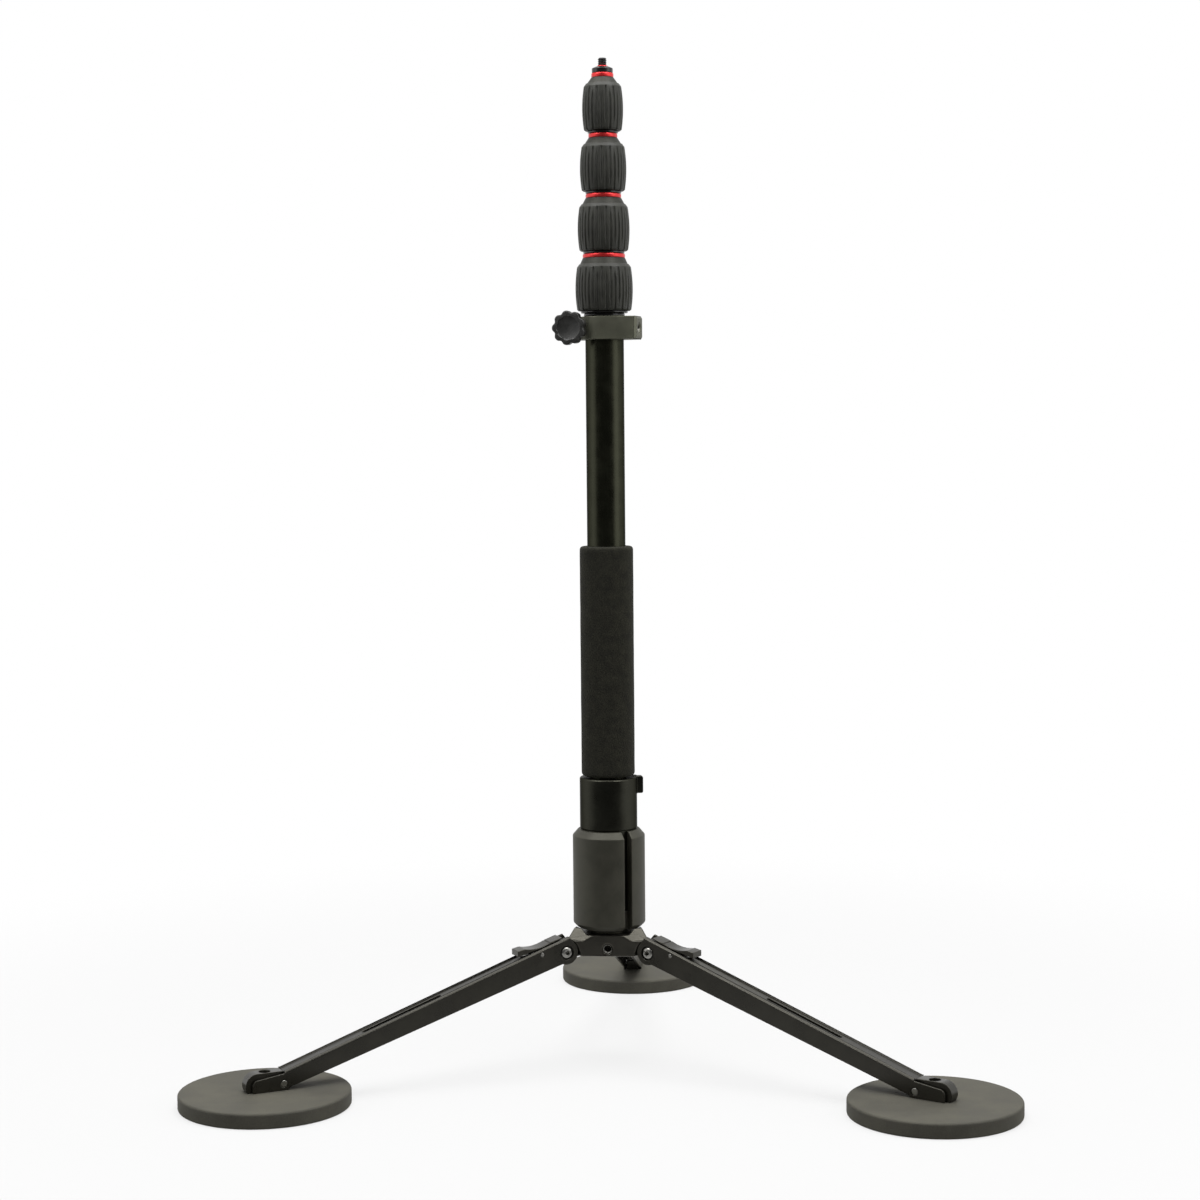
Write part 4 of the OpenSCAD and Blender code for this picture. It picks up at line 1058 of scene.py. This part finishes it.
@dataclass(frozen=True)
class CameraPlatform:
    """Top platform, its threaded camera stud and the red washer at the stud's foot."""

    platform_edge: float = 0.3
    tip: float = 0.8
    thread_start: float = 0.1
    stud_sharp: float = 40.0
    washer_radius: float = 3.95
    washer_height: float = 0.7
    washer_gap: float = 0.05
    washer_rounding: float = 0.4
    washer_segments: int = 96
    thread: Thread = Thread()

    def build(self) -> None:
        """Builds the platform's pieces."""
        softened("top_platform", "platform_disc", GLOSS_BLACK, self.platform_edge)
        stud, seat = RoundPlace.of("camera_stud"), RoundPlace.of("top_platform").high
        shank = [stud.radius - self.thread.depth] * self.thread.segments
        rings = [ring(shank, stud.low), ring(shank, seat)]
        rings += self.thread.rings(stud.radius, seat + self.thread_start, stud.high, self.tip)
        piece = linked(loft(rings).mesh("platform_camera_stud", self.stud_sharp))
        standing_for("camera_stud", piece, BLACK_STEEL)
        inner, outer, top = stud.radius + self.washer_gap, self.washer_radius, seat + self.washer_height
        outline = rounded([Corner(inner, seat), Corner(outer, seat), Corner(outer, top, self.washer_rounding),
                           Corner(inner, top)])
        shape = lathe(outline, self.washer_segments)
        washer = linked(shape.mesh("platform_red_washer"))
        seated(dressed(washer, RED_RING), "red_anodised", NODE_BODIES["camera_stud"])


@dataclass(frozen=True)
class AccessoryClamp:
    """Split clamp with its threaded boss and its lobed knob."""

    band_edge: float = 0.5
    rim_thickness: float = 7.0
    rim_radius: float = 12.5
    rim_draft: float = 0.2
    hollows: int = 9
    hollow_depth: float = 1.5
    hollow_power: float = 1.6
    edge: float = 0.9
    edge_steps: int = 5
    dish: float = 0.8
    dish_rim: float = 4.0
    dish_lip: float = 0.6
    dish_lobes: float = 0.3
    dish_slope: float = 0.6
    dish_foot: float = 0.7
    dish_middle: float = 0.5
    foot_radius: float = 4.0
    foot_edge: float = 0.4
    foot_sink: float = 0.3
    seat_margin: float = 0.2
    screw_radius: float = 2.5
    tip_flat: float = 0.4
    tip_rounding: float = 0.6
    tip_length: float = 3.0
    screw_segments: int = 64
    segments: int = 216
    thread: Thread = Thread()

    def build(self, copies: Copies) -> None:
        """Builds the clamp's pieces.

        Args:
            copies: the tree that repeats the thread.
        """
        softened("clamp_band", "clamp_split_band", SATIN_CLAMP, self.band_edge)
        self.thread.line_holes("clamp_hole_thread", "clamp_band", [MOUNTS["clamp_socket"]], copies)
        self.knob()

    def outline(self, inset: float, z: float, lobed: float = 0.0) -> list[Vector]:
        """Makes one ring of the knob's rim.

        Args:
            inset: how far the ring lies inside the rim.
            z: the ring's height.
            lobed: the hollows' share of their depth.

        Returns:
            The ring's points.
        """
        waves = [0.5 + 0.5 * math.cos(self.hollows * turn) for turn in turns(self.segments)]
        deep = lobed * self.hollow_depth
        return ring([self.rim_radius - inset - deep * wave ** self.hollow_power for wave in waves], z)

    def knob(self) -> None:
        """Builds the knob along its own axis, from its screw to its dished face."""
        joint = JOINTS["clamp_knob_turn"]
        axis, pivot = Vector(joint["axis"]), Vector(joint["pos_m"])
        reach = [(vertex.co - pivot).dot(axis) / MM for vertex in frame["nodes"]["clamp_knob"].data.vertices]
        face, tip = max(reach), min(reach)
        back, sunk, rim = face - self.rim_thickness, face - self.dish, self.dish_rim
        leans = [FULL_TURN / 4 * step / self.edge_steps for step in range(self.edge_steps + 1)]
        lobes = [(self.edge * (1 - math.sin(a)), self.edge * (1 - math.cos(a))) for a in leans]
        rings = [self.outline(inset + self.rim_draft, back + rise, 1.0) for inset, rise in lobes]
        rings += [self.outline(inset, face - rise, 1.0) for inset, rise in reversed(lobes)]
        rings += [self.outline(rim - self.dish_lip, face, self.dish_lobes),
                  self.outline(rim, face - self.dish * self.dish_slope),
                  self.outline(rim + self.dish_foot, sunk),
                  self.outline(self.rim_radius - self.dish_middle, sunk)]
        seat = max(place for place in reach if place < back - self.seat_margin)
        screw = rounded([Corner(self.tip_flat, tip), Corner(self.screw_radius, tip, self.tip_rounding),
                         Corner(self.screw_radius, tip + self.tip_length)])
        foot = [(self.screw_radius, seat), (self.foot_radius - self.foot_edge, seat),
                (self.foot_radius, seat + self.foot_edge), (self.foot_radius, back + self.foot_sink)]
        shape = loft(rings).joined(lathe(screw + foot, self.screw_segments, looped=False))
        piece = linked(shape.moved(aimed_at(joint)).mesh("clamp_lobed_knob"))
        standing_for("clamp_knob", piece, KNOB_PLASTIC)


@dataclass(frozen=True)
class FoldingLeg:
    """One leg: channel, press rocker, pins, toe insert and weight disc."""

    number: int
    beam_edge: float = 0.45
    beam_steps: int = 2
    toe_edge: float = 0.5
    disc_edge: float = 0.7
    fine_steps: int = 3

    def build(self) -> None:
        """Builds the leg's pieces."""
        name = f"leg_{self.number}"
        for node, piece, finish, width, steps in (
            ("channel", "beam", SATIN_BLACK, self.beam_edge, self.beam_steps),
            ("rocker", "thumb_rocker", SATIN_BLACK, self.beam_edge, self.beam_steps),
            ("foot", "toe_insert", SATIN_BLACK, self.toe_edge, self.fine_steps),
            ("pins", "cross_pins", BRIGHT_STEEL, self.toe_edge, self.fine_steps),
            ("disc", "weight_disc", DISC_IRON, self.disc_edge, self.fine_steps),
        ):
            softened(f"{name}_{node}", f"{name}_{piece}", finish, width, steps)


def dress_shown_nodes() -> None:
    """Gives each node of the model that still shows the finish of its slot."""
    for name, node in frame["nodes"].items():
        if node.hide_render:
            continue
        finish = SATIN_TUBE if name.startswith("tube_") else SLOT_FINISHES[NODE_SLOTS[name]]
        dressed(node, finish)
        log.info("%s: model node in %s", name, finish.name)


def main() -> None:
    """Builds the studio and every sub-assembly in order."""
    logging.basicConfig(level=logging.INFO, format="%(message)s")
    Studio().build()
    copies, ribs = Copies(), Ribs()
    Mast().build(copies)
    for number in LOCKS:
        TwistLock(number).build(ribs)
    CameraPlatform().build()
    AccessoryClamp().build(copies)
    for number in LEGS:
        FoldingLeg(number).build()
    dress_shown_nodes()


if __name__ == "__main__":
    main()
